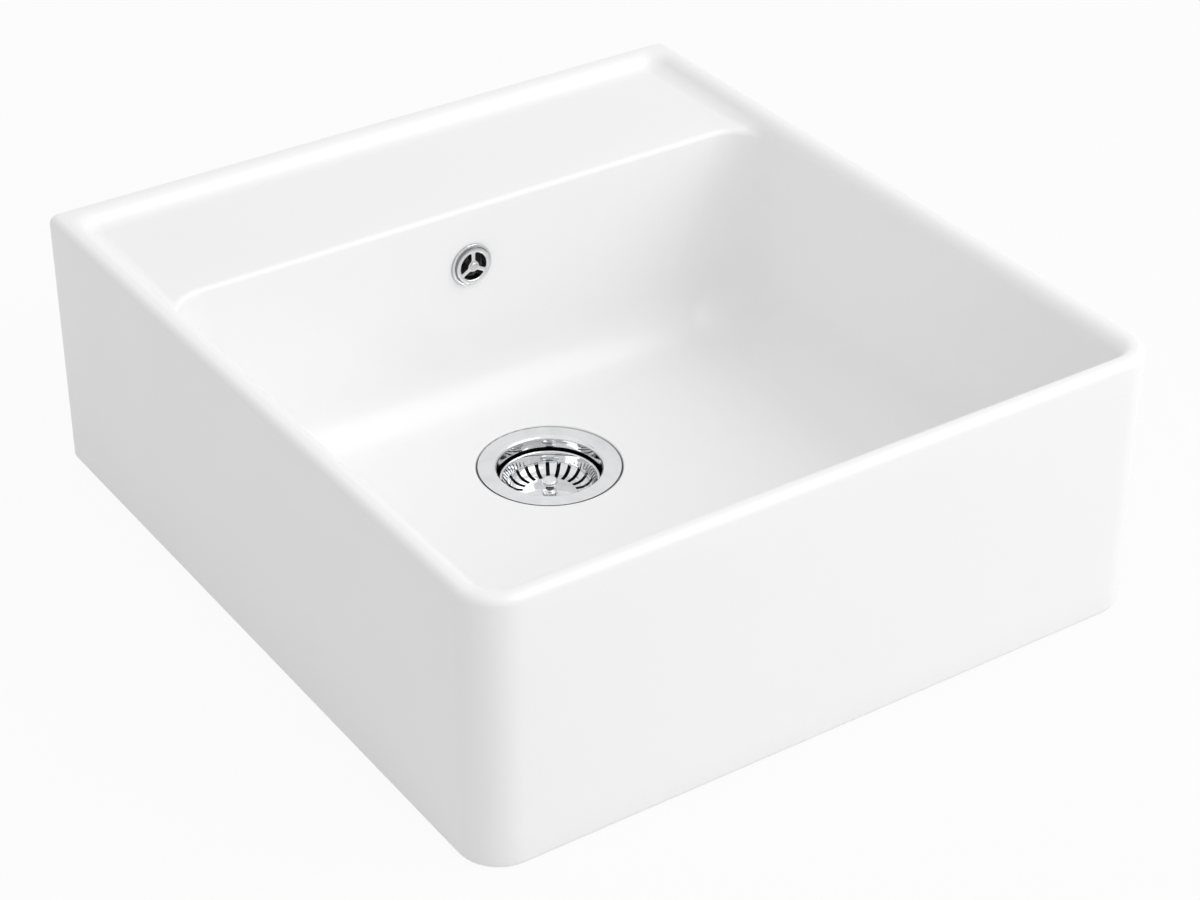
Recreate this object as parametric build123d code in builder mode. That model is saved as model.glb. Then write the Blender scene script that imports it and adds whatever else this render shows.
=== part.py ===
"""Farmhouse apron front sink: glazed bowl, strainer waste with lift-out basket, and overflow.

Millimetres, +Z up. The origin lies on the base plane under the middle of the sink.
-Y is the apron front, +Y the wall side with the tap ledge.
"""

import math
import os

from build123d import *

os.makedirs("parts", exist_ok=True)

# Ceramic body, outside
BODY_WIDTH = 595.0
BODY_DEPTH = 648.0
BODY_HEIGHT = 227.0
FRONT_CORNER_RADIUS = 34.0
BACK_CORNER_RADIUS = 3.0
TOP_EDGE_RADIUS = 7.0
BASE_EDGE_RADIUS = 5.0

# Rim and tap ledge
SIDE_WALL = 21.0
FRONT_WALL = 16.0
BACK_UPSTAND = 22.0
SIDE_ROLL = 12.0
FRONT_ROLL = 7.0
LEDGE_DROP = 11.5
LEDGE_DEPTH = 157.5
LEDGE_THICKNESS = 20.0
LEDGE_EDGE_RADIUS = 4.5
TRAY_BACK_RADIUS = 8.0
ROLL_STEPS = 6

# Bowl
SIDE_DRAFT = 15.0
FRONT_DRAFT = 15.0
BOWL_FRONT_RADIUS = 18.0
BOWL_BACK_RADIUS = 38.0
BOWL_FLOOR_CORNER_RADIUS = 60.0
FLOOR_FILLET = 45.0
FLOOR_AT_DRAIN = 30.0
FLOOR_FALL_DEG = 1.0

# Underside and the pocket behind the bowl
BASE_LAND = 32.0
UNDERSIDE_RECESS = 12.0
RECESS_CORNER_RADIUS = 30.0
BOWL_BACK_WALL = 22.0
POCKET_WALL = 22.0
POCKET_CORNER_RADIUS = 20.0
KNOCKOUT_RADIUS = 17.5
KNOCKOUT_DEPTH = 10.0
KNOCKOUT_SPACING = 140.0
KNOCKOUT_COUNT = 3

# Waste hole
DRAIN_TO_BACK_WALL = 115.5
DRAIN_HOLE_RADIUS = 45.2
REBATE_RADIUS = 60.0
REBATE_DEPTH = 2.0
HOLE_CHAMFER = 1.0
OVERCUT = 1.0

# Waste cup, pressed from sheet, on a flat seal in the rebate
CUP_SHEET = 1.2
FLANGE_RADIUS = 58.5
FLANGE_SEAL_THICKNESS = 1.0
FLANGE_SEAL_INNER = 47.5
FLANGE_SEAL_OUTER = 57.5
FLANGE_SHOULDER = 3.0
CUP_WALL_RADIUS = 43.2
CUP_WALL_TAPER = 0.4
CUP_SEAT_DEPTH = 13.7
CUP_SEAT_WIDTH = 3.2
SEAT_EDGE_RADIUS = 1.5
CUP_LOWER_TAPER = 2.0
CUP_DEPTH = 46.2
CUP_CORNER_RADIUS = 5.0
OUTLET_SLOT_OUTER = 21.5
OUTLET_SLOT_INNER = 10.5
OUTLET_WEB = 5.0
SCREW_HOLE_RADIUS = 4.1

# Basket, pressed from thinner sheet
BASKET_SHEET = 0.9
BASKET_RIM_GAP = 1.2
BASKET_RIM_WIDTH = 2.4
BASKET_RIM_LIP = 1.7
BASKET_BEND = 0.95
BASKET_DEPTH = 15.3
BASKET_WALL_TAPER = 4.8
BASKET_FLOOR_BEND = 11.0
SLOT_COUNT = 24
SLOT_WIDTH = 3.2
SLOT_INNER_RADIUS = 22.5
SLOT_OUTER_RADIUS = 36.6
SEAT_GAP = 0.3
FREE_CLEARANCE = 0.1

# Knob on top of the basket
KNOB_HEIGHT = 14.0
KNOB_HEAD_RADIUS = 6.6
KNOB_HEAD_HEIGHT = 5.0
KNOB_DOME = 2.6
KNOB_NECK_RADIUS = 3.3
KNOB_NECK_HEIGHT = 4.2
KNOB_COLLAR_RADIUS = 5.4
KNOB_COLLAR_HEIGHT = 2.8
KNOB_BLEND = 1.4

# Stem and plug under the basket
SPIGOT_RADIUS = 2.5
SPIGOT_LENGTH = 7.0
STEM_COLLAR_RADIUS = 6.0
STEM_COLLAR_HEIGHT = 1.4
STEM_RADIUS = 4.0
STEM_TAIL = 1.0
PLUG_CARRIER_RADIUS = 16.0
PLUG_CARRIER_THICKNESS = 4.0
PLUG_CARRIER_CHAMFER = 1.0
PLUG_RADIUS = 27.0
PLUG_THICKNESS = 3.0
PLUG_CROWN_RADIUS = 18.0
PLUG_LIP_THICKNESS = 2.0
PLUG_LIP_HEIGHT = 2.5
PLUG_LIP_GAP = 0.3
PLUG_WASHER_RADIUS = 9.0
PLUG_WASHER_THICKNESS = 1.2
CLIP_THICKNESS = 1.0
CLIP_RADIUS = 6.5
CLIP_GROOVE = 0.8
CLIP_OPENING = 3.6

# Waste body under the sink
SEAL_THICKNESS = 3.0
SEAL_INNER_RADIUS = 48.0
SEAL_OUTER_RADIUS = 58.0
POT_FLANGE_RADIUS = 60.0
POT_FLANGE_THICKNESS = 4.0
POT_WALL = 3.0
POT_RADIUS = 44.0
POT_DEPTH = 69.0
POT_CONE_HEIGHT = 14.0
OUTLET_RADIUS = 23.9
OUTLET_BORE = 20.4
OUTLET_LENGTH = 24.0
HUB_RADIUS = 9.5
HUB_GAP = 7.0
HUB_LENGTH = 24.0
HUB_RIB = 3.0
HUB_RIBS = 3
INSERT_RADIUS = 6.0
INSERT_BORE = 4.0
INSERT_LENGTH = 18.0
SCREW_RADIUS = 3.9
SCREW_LENGTH = 31.0
SCREW_HEAD_RADIUS = 7.0
SCREW_HEAD_HEIGHT = 4.2
SCREW_HEAD_DOME = 1.2
SCREW_SLOT_WIDTH = 1.6
SCREW_SLOT_DEPTH = 1.8
SCREW_WASHER_RADIUS = 8.5
SCREW_WASHER_THICKNESS = 1.0

# Overflow rosette in the bowl, and the screw that holds it
OVERFLOW_BELOW_LEDGE = 52.5
OVERFLOW_HOLE_RADIUS = 13.5
ROSETTE_RADIUS = 18.5
ROSETTE_FACE_RADIUS = 16.0
ROSETTE_HEIGHT = 3.6
ROSETTE_EDGE = 0.8
ROSETTE_OPENING = 12.2
ROSETTE_SEAL_THICKNESS = 0.8
ROSETTE_SEAL_INNER = 13.7
ROSETTE_SEAL_OUTER = 17.8
ROSETTE_SPIGOT_LENGTH = 6.0
ROSETTE_SPIGOT_WALL = 0.9
ROSETTE_HUB_RADIUS = 5.0
ROSETTE_HUB_SET_BACK = 0.5
SPOKE_WIDTH = 4.4
SPOKE_THICKNESS = 2.6
SPOKE_COUNT = 3
OVERFLOW_SCREW_RADIUS = 2.4
OVERFLOW_SCREW_HEAD = 3.4
OVERFLOW_SCREW_HEAD_HEIGHT = 1.4
OVERFLOW_SCREW_LENGTH = 54.0

# Overflow head in the pocket behind the bowl
OVERFLOW_GASKET_THICKNESS = 3.0
OVERFLOW_GASKET_INNER = 15.0
OVERFLOW_GASKET_RADIUS = 21.0
HEAD_FLANGE_RADIUS = 22.0
HEAD_FLANGE_THICKNESS = 2.5
HEAD_RADIUS = 17.0
HEAD_BORE = 14.0
HEAD_LENGTH = 35.0
HEAD_BOSS_RADIUS = 5.5
HEAD_BOSS_LENGTH = 14.0
HEAD_INSERT_RADIUS = 3.6
HEAD_INSERT_LENGTH = 10.0
HEAD_DROP = 40.0

# Spigots, nuts and hose that join the overflow to the waste body
SPIGOT_OUTER = 15.0
SPIGOT_BORE = 11.8
SPIGOT_REACH = 78.0
SPIGOT_DROP = 51.0
NUT_RADIUS = 18.5
NUT_LENGTH = 20.0
NUT_OVERLAP = 11.0
NUT_LIP = 3.0
NUT_LIP_BORE = 12.4
NUT_LUGS = 10
NUT_LUG_RADIUS = 1.6
CONE_WASHER_BORE = 11.6
CONE_WASHER_RADIUS = 14.8
CONE_WASHER_NOSE = 13.2
HOSE_BORE = 9.6
HOSE_ROOT = 11.5
HOSE_CREST = 13.4
HOSE_CUFF = 27.0
HOSE_INSERTION = 10.0
HOSE_BEND = 52.0
HOSE_RIBS = 29
# One rib of the hose: shares of its pitch, and the radius there
RIB_PROFILE = ((0.1, HOSE_ROOT), (0.3, HOSE_CREST), (0.7, HOSE_CREST), (0.9, HOSE_ROOT))

# Places worked out from the sizes above
HALF_WIDTH = BODY_WIDTH / 2
FRONT_Y = -BODY_DEPTH / 2
BACK_Y = BODY_DEPTH / 2
LEDGE_Z = BODY_HEIGHT - LEDGE_DROP
LEDGE_FRONT_Y = BACK_Y - LEDGE_DEPTH
OVERFLOW_HEIGHT = LEDGE_Z - OVERFLOW_BELOW_LEDGE
DRAIN_Y = LEDGE_FRONT_Y - DRAIN_TO_BACK_WALL
REBATE_Z = FLOOR_AT_DRAIN - REBATE_DEPTH
FLANGE_Z = REBATE_Z + FLANGE_SEAL_THICKNESS + CUP_SHEET
SEAT_Z = FLANGE_Z - CUP_SEAT_DEPTH
CUP_BOTTOM_Z = FLANGE_Z - CUP_DEPTH
SEAT_OUTER = CUP_WALL_RADIUS - CUP_WALL_TAPER
SEAT_INNER = SEAT_OUTER - CUP_SEAT_WIDTH
CUP_FLOOR_RADIUS = SEAT_INNER - CUP_LOWER_TAPER
BASKET_RADIUS = SEAT_OUTER - BASKET_RIM_GAP
BASKET_RIM_Z = SEAT_Z + SEAT_GAP + BASKET_RIM_LIP
BASKET_FLOOR_Z = BASKET_RIM_Z - BASKET_DEPTH
BASKET_UNDERSIDE_Z = BASKET_FLOOR_Z - BASKET_SHEET
BASKET_WALL_RADIUS = BASKET_RADIUS - BASKET_RIM_WIDTH
CARRIER_TOP_Z = BASKET_UNDERSIDE_Z - STEM_COLLAR_HEIGHT
PLUG_TOP_Z = CARRIER_TOP_Z - PLUG_CARRIER_THICKNESS
PLUG_LIP_Z = CUP_BOTTOM_Z + PLUG_LIP_GAP
PLUG_WASHER_Z = PLUG_TOP_Z - PLUG_THICKNESS
CLIP_Z = PLUG_WASHER_Z - PLUG_WASHER_THICKNESS
STEM_END_Z = CLIP_Z - CLIP_THICKNESS - STEM_TAIL
SCREW_SEAT_Z = CUP_BOTTOM_Z + SCREW_WASHER_THICKNESS
POT_TOP_Z = UNDERSIDE_RECESS - SEAL_THICKNESS
POT_FLOOR_Z = POT_TOP_Z - POT_DEPTH
OUTLET_TOP_Z = POT_FLOOR_Z - POT_CONE_HEIGHT
OUTLET_END_Z = OUTLET_TOP_Z - OUTLET_LENGTH
HUB_TOP_Z = CUP_BOTTOM_Z - CUP_SHEET - HUB_GAP
WALL_FACE_Y = LEDGE_FRONT_Y
WALL_BACK_Y = WALL_FACE_Y + BOWL_BACK_WALL
ROSETTE_BACK_Y = WALL_FACE_Y - ROSETTE_SEAL_THICKNESS
ROSETTE_FRONT_Y = ROSETTE_BACK_Y - ROSETTE_HEIGHT
HUB_FRONT_Y = ROSETTE_FRONT_Y + ROSETTE_HUB_SET_BACK
HEAD_FACE_Y = WALL_BACK_Y + OVERFLOW_GASKET_THICKNESS
HEAD_END_Y = HEAD_FACE_Y + HEAD_LENGTH
BOSS_Y = HEAD_END_Y - POT_WALL - HEAD_BOSS_LENGTH
HOSE_TOP_Y = HEAD_FACE_Y + HEAD_LENGTH - HEAD_RADIUS
HOSE_TOP_Z = OVERFLOW_HEIGHT - HEAD_DROP
HOSE_LOW_Y = DRAIN_Y + SPIGOT_REACH
HOSE_LOW_Z = POT_TOP_Z - SPIGOT_DROP

DRAIN_AXIS = Axis((0, DRAIN_Y, 0), (0, 0, 1))
DRAIN_SECTION = Plane(origin=(0, DRAIN_Y, 0), x_dir=(1, 0, 0), z_dir=(0, -1, 0))
OVERFLOW_AXIS = Axis((0, 0, OVERFLOW_HEIGHT), (0, 1, 0))
OVERFLOW_SECTION = Plane(origin=(0, 0, OVERFLOW_HEIGHT), x_dir=(1, 0, 0), z_dir=(0, 0, 1))
HUB_FRONT = Plane(
    origin=(0, HUB_FRONT_Y, OVERFLOW_HEIGHT), x_dir=(1, 0, 0), z_dir=(0, 1, 0)
)
UPPER_JOINT = Plane(origin=(0, HOSE_TOP_Y, HOSE_TOP_Z), x_dir=(1, 0, 0), z_dir=(0, 0, -1))
LOWER_JOINT = Plane(origin=(0, HOSE_LOW_Y, HOSE_LOW_Z), x_dir=(1, 0, 0), z_dir=(0, 1, 0))


def finish(part, name):
    """Label a finished piece and write its file."""
    part.label = name
    export_step(part, f"parts/{name}.step")


def outline(height, half_width, front, back, front_radius, back_radius):
    """Return a rounded rectangle at a height, with its own front and back corner radii."""
    with BuildSketch(Plane.XY.offset(height)) as plan:
        with Locations((0, (front + back) / 2)):
            Rectangle(2 * half_width, back - front)
        fillet(plan.vertices().group_by(Axis.Y)[0], front_radius)
        if back_radius > 0:
            fillet(plan.vertices().group_by(Axis.Y)[-1], back_radius)
    return plan.sketch.faces()[0]


def ring(section, axis, inner, outer, start, end):
    """Return a plain ring about an axis, between two places along it."""
    with BuildPart() as made:
        with BuildSketch(section) as cut:
            with BuildLine():
                Polyline((inner, start), (outer, start), (outer, end), (inner, end), close=True)
            make_face()
        revolve(axis=axis)
    return made.part


def roll_sections():
    """Return the rim opening's outlines, from the ledge up along its rolled edge."""
    sections = []
    for step in range(ROLL_STEPS + 1):
        turn = math.pi / 2 * step / ROLL_STEPS
        share = 1 - math.cos(turn)
        sections.append(
            outline(
                LEDGE_Z + LEDGE_DROP * math.sin(turn),
                HALF_WIDTH - SIDE_WALL + SIDE_ROLL * share,
                FRONT_Y + FRONT_WALL - FRONT_ROLL * share,
                BACK_Y - BACK_UPSTAND + SIDE_ROLL * share,
                BOWL_FRONT_RADIUS + FRONT_ROLL * share,
                TRAY_BACK_RADIUS + SIDE_ROLL * share,
            )
        )
    return sections


# Bowl cavity: drafted walls on a floor that falls to the drain from all sides
bowl_mouth = outline(
    LEDGE_Z,
    HALF_WIDTH - SIDE_WALL,
    FRONT_Y + FRONT_WALL,
    LEDGE_FRONT_Y,
    BOWL_FRONT_RADIUS,
    BOWL_BACK_RADIUS,
)
bowl_base = outline(
    0,
    HALF_WIDTH - SIDE_WALL - SIDE_DRAFT,
    FRONT_Y + FRONT_WALL + FRONT_DRAFT,
    LEDGE_FRONT_Y,
    BOWL_FLOOR_CORNER_RADIUS,
    BOWL_FLOOR_CORNER_RADIUS,
)
with BuildPart() as bowl:
    loft([bowl_mouth, bowl_base], ruled=True)
    with BuildSketch(DRAIN_SECTION) as floor_section:
        with BuildLine():
            Polyline(
                (0, -OVERCUT),
                (0, FLOOR_AT_DRAIN),
                (BODY_DEPTH, FLOOR_AT_DRAIN + BODY_DEPTH * math.tan(math.radians(FLOOR_FALL_DEG))),
                (BODY_DEPTH, -OVERCUT),
                close=True,
            )
        make_face()
    revolve(axis=DRAIN_AXIS, mode=Mode.SUBTRACT)
    fillet(bowl.faces().sort_by(Axis.Z)[0].edges(), FLOOR_FILLET)

# Rim opening above the ledge, rolled over at the top
with BuildPart() as tray:
    loft(roll_sections())

# Outside of the ceramic body, with its softened edges
with BuildPart() as shell:
    extrude(
        outline(0, HALF_WIDTH, FRONT_Y, BACK_Y, FRONT_CORNER_RADIUS, 0), amount=BODY_HEIGHT
    )
    fillet(shell.faces().sort_by(Axis.Z)[-1].edges(), TOP_EDGE_RADIUS)
    fillet(shell.faces().sort_by(Axis.Z)[0].edges(), BASE_EDGE_RADIUS)
    back_corners = shell.edges().filter_by(Axis.Z).group_by(Axis.Y)[-1]
    fillet(back_corners, BACK_CORNER_RADIUS)

# Ceramic body
with BuildPart() as sink_body:
    add(shell.part)
    add(tray.part, mode=Mode.SUBTRACT)
    add(bowl.part, mode=Mode.SUBTRACT)
    # Recess under the bowl, inside the land that the sink stands on
    recess = outline(
        0,
        HALF_WIDTH - BASE_LAND,
        FRONT_Y + BASE_LAND,
        WALL_BACK_Y - BASE_LAND,
        RECESS_CORNER_RADIUS,
        RECESS_CORNER_RADIUS,
    )
    extrude(recess, amount=UNDERSIDE_RECESS, mode=Mode.SUBTRACT)
    # Pocket behind the bowl, open below, for the overflow and the tap's tails
    pocket = outline(
        0,
        HALF_WIDTH - POCKET_WALL,
        WALL_BACK_Y,
        BACK_Y - POCKET_WALL,
        POCKET_CORNER_RADIUS,
        POCKET_CORNER_RADIUS,
    )
    extrude(pocket, amount=LEDGE_Z - LEDGE_THICKNESS, mode=Mode.SUBTRACT)
    # Blind knock-outs for tap holes, in the ledge's underside
    with BuildSketch(Plane.XY.offset(LEDGE_Z - LEDGE_THICKNESS - OVERCUT)) as knockouts:
        with Locations((0, (WALL_BACK_Y + BACK_Y - POCKET_WALL) / 2)):
            with GridLocations(KNOCKOUT_SPACING, 0, KNOCKOUT_COUNT, 1):
                Circle(KNOCKOUT_RADIUS)
    extrude(amount=KNOCKOUT_DEPTH + OVERCUT, mode=Mode.SUBTRACT)
    # Waste hole, with its rebate for the flange
    with BuildSketch(DRAIN_SECTION) as drain_cut:
        with BuildLine():
            Polyline(
                (0, 0),
                (DRAIN_HOLE_RADIUS, 0),
                (DRAIN_HOLE_RADIUS, REBATE_Z - HOLE_CHAMFER),
                (DRAIN_HOLE_RADIUS + HOLE_CHAMFER, REBATE_Z),
                (REBATE_RADIUS, REBATE_Z),
                (REBATE_RADIUS, REBATE_Z + FLOOR_FILLET),
                (0, REBATE_Z + FLOOR_FILLET),
                close=True,
            )
        make_face()
    revolve(axis=DRAIN_AXIS, mode=Mode.SUBTRACT)
    # Overflow hole through the wall behind the bowl
    overflow_start = Plane(
        origin=(0, WALL_FACE_Y - OVERCUT, OVERFLOW_HEIGHT), x_dir=(1, 0, 0), z_dir=(0, 1, 0)
    )
    with BuildSketch(overflow_start) as overflow_hole:
        Circle(OVERFLOW_HOLE_RADIUS)
    extrude(amount=BOWL_BACK_WALL + 2 * OVERCUT, mode=Mode.SUBTRACT)
    # Rounded front edge of the ledge, between the bowl's corners
    edge_end = Plane(
        origin=(HALF_WIDTH - SIDE_WALL - BOWL_BACK_RADIUS, LEDGE_FRONT_Y, LEDGE_Z),
        x_dir=(0, 1, 0),
        z_dir=(-1, 0, 0),
    )
    with BuildSketch(edge_end) as edge_section:
        with BuildLine():
            Polyline(
                (0, LEDGE_EDGE_RADIUS),
                (-OVERCUT, LEDGE_EDGE_RADIUS),
                (-OVERCUT, -OVERCUT),
                (LEDGE_EDGE_RADIUS, -OVERCUT),
                (LEDGE_EDGE_RADIUS, 0),
            )
            RadiusArc((LEDGE_EDGE_RADIUS, 0), (0, LEDGE_EDGE_RADIUS), LEDGE_EDGE_RADIUS)
        make_face()
    extrude(amount=2 * (HALF_WIDTH - SIDE_WALL - BOWL_BACK_RADIUS), mode=Mode.SUBTRACT)
finish(sink_body.part, "sink_body")


def sheet(section, axis, points, radii, thickness):
    """Return a pressed sheet part: a bent line, thickened outwards and revolved."""
    with BuildPart() as made:
        with BuildSketch(section):
            with BuildLine():
                FilletPolyline(*points, radius=radii)
                offset(amount=thickness, side=Side.LEFT)
            make_face()
        revolve(axis=axis)
    return made.part


# Flat seal between the waste cup's flange and the rebate
flange_seal = ring(
    DRAIN_SECTION,
    DRAIN_AXIS,
    FLANGE_SEAL_INNER,
    FLANGE_SEAL_OUTER,
    REBATE_Z,
    REBATE_Z + FLANGE_SEAL_THICKNESS,
)
finish(flange_seal, "flange_seal")

# Waste cup: flange, wall, seat for the basket, lower wall and open floor
with BuildPart() as waste_cup:
    add(
        sheet(
            DRAIN_SECTION,
            DRAIN_AXIS,
            [
                (FLANGE_RADIUS, FLANGE_Z),
                (CUP_WALL_RADIUS, FLANGE_Z),
                (SEAT_OUTER, SEAT_Z),
                (SEAT_INNER, SEAT_Z),
                (CUP_FLOOR_RADIUS, CUP_BOTTOM_Z),
                (0, CUP_BOTTOM_Z),
            ],
            [FLANGE_SHOULDER, CUP_SHEET, SEAT_EDGE_RADIUS, CUP_CORNER_RADIUS],
            CUP_SHEET,
        )
    )
    # Four curved outlets between webs, and the screw's hole in the middle
    with BuildSketch(Plane.XY.offset(CUP_BOTTOM_Z + OVERCUT)) as cup_openings:
        with Locations((0, DRAIN_Y)):
            Circle(OUTLET_SLOT_OUTER)
            Circle(OUTLET_SLOT_INNER, mode=Mode.SUBTRACT)
            Rectangle(2 * CUP_WALL_RADIUS, OUTLET_WEB, mode=Mode.SUBTRACT)
            Rectangle(OUTLET_WEB, 2 * CUP_WALL_RADIUS, mode=Mode.SUBTRACT)
            Circle(SCREW_HOLE_RADIUS)
    extrude(amount=-(CUP_SHEET + 2 * OVERCUT), mode=Mode.SUBTRACT)
finish(waste_cup.part, "waste_cup")

# Long screw that clamps the cup to the waste body, and its washer
screw_washer = ring(
    DRAIN_SECTION, DRAIN_AXIS, SCREW_HOLE_RADIUS, SCREW_WASHER_RADIUS, CUP_BOTTOM_Z, SCREW_SEAT_Z
)
finish(screw_washer, "screw_washer")
with BuildPart() as body_screw:
    with BuildSketch(DRAIN_SECTION) as screw_section:
        with BuildLine():
            Polyline(
                (0, SCREW_SEAT_Z + SCREW_HEAD_HEIGHT),
                (0, SCREW_SEAT_Z - SCREW_LENGTH),
                (SCREW_RADIUS - HOLE_CHAMFER, SCREW_SEAT_Z - SCREW_LENGTH),
                (SCREW_RADIUS, SCREW_SEAT_Z - SCREW_LENGTH + HOLE_CHAMFER),
                (SCREW_RADIUS, SCREW_SEAT_Z),
                (SCREW_HEAD_RADIUS, SCREW_SEAT_Z),
                (SCREW_HEAD_RADIUS, SCREW_SEAT_Z + SCREW_HEAD_HEIGHT - SCREW_HEAD_DOME),
            )
            Spline(
                (SCREW_HEAD_RADIUS, SCREW_SEAT_Z + SCREW_HEAD_HEIGHT - SCREW_HEAD_DOME),
                (0, SCREW_SEAT_Z + SCREW_HEAD_HEIGHT),
                tangents=((0, 1), (-1, 0)),
            )
        make_face()
    revolve(axis=DRAIN_AXIS)
    with BuildSketch(Plane.XY.offset(SCREW_SEAT_Z + SCREW_HEAD_HEIGHT)) as screw_slot:
        with Locations((0, DRAIN_Y)):
            Rectangle(2 * SCREW_HEAD_RADIUS + OVERCUT, SCREW_SLOT_WIDTH)
    extrude(amount=-SCREW_SLOT_DEPTH, mode=Mode.SUBTRACT)
finish(body_screw.part, "body_screw")

# Strainer basket: rolled rim, polished band, and slots down to the floor
with BuildPart() as basket:
    add(
        sheet(
            DRAIN_SECTION,
            DRAIN_AXIS,
            [
                (BASKET_RADIUS, BASKET_RIM_Z - BASKET_RIM_LIP),
                (BASKET_RADIUS, BASKET_RIM_Z),
                (BASKET_WALL_RADIUS, BASKET_RIM_Z),
                (BASKET_WALL_RADIUS - BASKET_WALL_TAPER, BASKET_FLOOR_Z),
                (0, BASKET_FLOOR_Z),
            ],
            [BASKET_BEND, BASKET_BEND, BASKET_FLOOR_BEND],
            BASKET_SHEET,
        )
    )
    slot_length = SLOT_OUTER_RADIUS - SLOT_INNER_RADIUS
    with BuildSketch(Plane.XY.offset(BASKET_UNDERSIDE_Z - OVERCUT)) as slots:
        with Locations((0, DRAIN_Y)):
            with PolarLocations(SLOT_INNER_RADIUS + slot_length / 2, SLOT_COUNT):
                Rectangle(slot_length, SLOT_WIDTH)
            Circle(SPIGOT_RADIUS + FREE_CLEARANCE)
    extrude(amount=BASKET_DEPTH, mode=Mode.SUBTRACT)
finish(basket.part, "basket")

# Knob: collar, neck and domed head over a blind bore
with BuildPart() as basket_knob:
    neck_z = BASKET_FLOOR_Z + KNOB_COLLAR_HEIGHT + KNOB_BLEND
    head_z = BASKET_FLOOR_Z + KNOB_HEIGHT - KNOB_HEAD_HEIGHT
    bore = SPIGOT_RADIUS + FREE_CLEARANCE
    with BuildSketch(DRAIN_SECTION) as knob_section:
        with BuildLine():
            Polyline(
                (0, BASKET_FLOOR_Z + KNOB_HEIGHT),
                (0, BASKET_FLOOR_Z + SPIGOT_LENGTH + FREE_CLEARANCE),
                (bore, BASKET_FLOOR_Z + SPIGOT_LENGTH + FREE_CLEARANCE),
                (bore, BASKET_FLOOR_Z),
                (KNOB_COLLAR_RADIUS, BASKET_FLOOR_Z),
                (KNOB_COLLAR_RADIUS, BASKET_FLOOR_Z + KNOB_COLLAR_HEIGHT),
                (KNOB_NECK_RADIUS, neck_z),
                (KNOB_NECK_RADIUS, head_z),
                (KNOB_HEAD_RADIUS, head_z + KNOB_BLEND),
                (KNOB_HEAD_RADIUS, BASKET_FLOOR_Z + KNOB_HEIGHT - KNOB_DOME),
            )
            Spline(
                (KNOB_HEAD_RADIUS, BASKET_FLOOR_Z + KNOB_HEIGHT - KNOB_DOME),
                (0, BASKET_FLOOR_Z + KNOB_HEIGHT),
                tangents=((0, 1), (-1, 0)),
            )
        make_face()
    revolve(axis=DRAIN_AXIS)
finish(basket_knob.part, "basket_knob")

# Stem: spigot up into the knob, collar under the basket, shank with a clip groove
with BuildPart() as basket_stem:
    with BuildSketch(DRAIN_SECTION) as stem_section:
        with BuildLine():
            Polyline(
                (0, BASKET_FLOOR_Z + SPIGOT_LENGTH),
                (0, STEM_END_Z),
                (STEM_RADIUS, STEM_END_Z),
                (STEM_RADIUS, CLIP_Z - CLIP_THICKNESS - FREE_CLEARANCE),
                (STEM_RADIUS - CLIP_GROOVE, CLIP_Z - CLIP_THICKNESS - FREE_CLEARANCE),
                (STEM_RADIUS - CLIP_GROOVE, CLIP_Z),
                (STEM_RADIUS, CLIP_Z),
                (STEM_RADIUS, CARRIER_TOP_Z),
                (STEM_COLLAR_RADIUS, CARRIER_TOP_Z),
                (STEM_COLLAR_RADIUS, BASKET_UNDERSIDE_Z),
                (SPIGOT_RADIUS, BASKET_UNDERSIDE_Z),
                (SPIGOT_RADIUS, BASKET_FLOOR_Z + SPIGOT_LENGTH),
                close=True,
            )
        make_face()
    revolve(axis=DRAIN_AXIS)
finish(basket_stem.part, "basket_stem")

# Rigid disc that carries the rubber plug
with BuildPart() as plug_carrier:
    add(
        ring(
            DRAIN_SECTION,
            DRAIN_AXIS,
            STEM_RADIUS + FREE_CLEARANCE,
            PLUG_CARRIER_RADIUS,
            PLUG_TOP_Z,
            CARRIER_TOP_Z,
        )
    )
    top_rim = plug_carrier.edges().group_by(Axis.Z)[-1].sort_by(SortBy.LENGTH)[-1]
    chamfer(top_rim, PLUG_CARRIER_CHAMFER)
finish(plug_carrier.part, "plug_carrier")

# Rubber plug: a soft bell whose lip closes on the cup's floor
with BuildPart() as plug_seal:
    with BuildSketch(DRAIN_SECTION) as plug_section:
        with BuildLine():
            Polyline(
                (PLUG_CROWN_RADIUS, PLUG_TOP_Z),
                (STEM_RADIUS + FREE_CLEARANCE, PLUG_TOP_Z),
                (STEM_RADIUS + FREE_CLEARANCE, PLUG_WASHER_Z),
                (PLUG_CROWN_RADIUS - PLUG_THICKNESS, PLUG_WASHER_Z),
            )
            Spline(
                (PLUG_CROWN_RADIUS - PLUG_THICKNESS, PLUG_WASHER_Z),
                (PLUG_RADIUS - PLUG_LIP_THICKNESS, PLUG_LIP_Z + PLUG_LIP_HEIGHT),
                tangents=((1, 0), (0, -1)),
            )
            Polyline(
                (PLUG_RADIUS - PLUG_LIP_THICKNESS, PLUG_LIP_Z + PLUG_LIP_HEIGHT),
                (PLUG_RADIUS - PLUG_LIP_THICKNESS, PLUG_LIP_Z),
                (PLUG_RADIUS, PLUG_LIP_Z),
                (PLUG_RADIUS, PLUG_LIP_Z + PLUG_LIP_HEIGHT),
            )
            Spline(
                (PLUG_RADIUS, PLUG_LIP_Z + PLUG_LIP_HEIGHT),
                (PLUG_CROWN_RADIUS, PLUG_TOP_Z),
                tangents=((0, 1), (-1, 0)),
            )
        make_face()
    revolve(axis=DRAIN_AXIS)
finish(plug_seal.part, "plug_seal")

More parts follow.
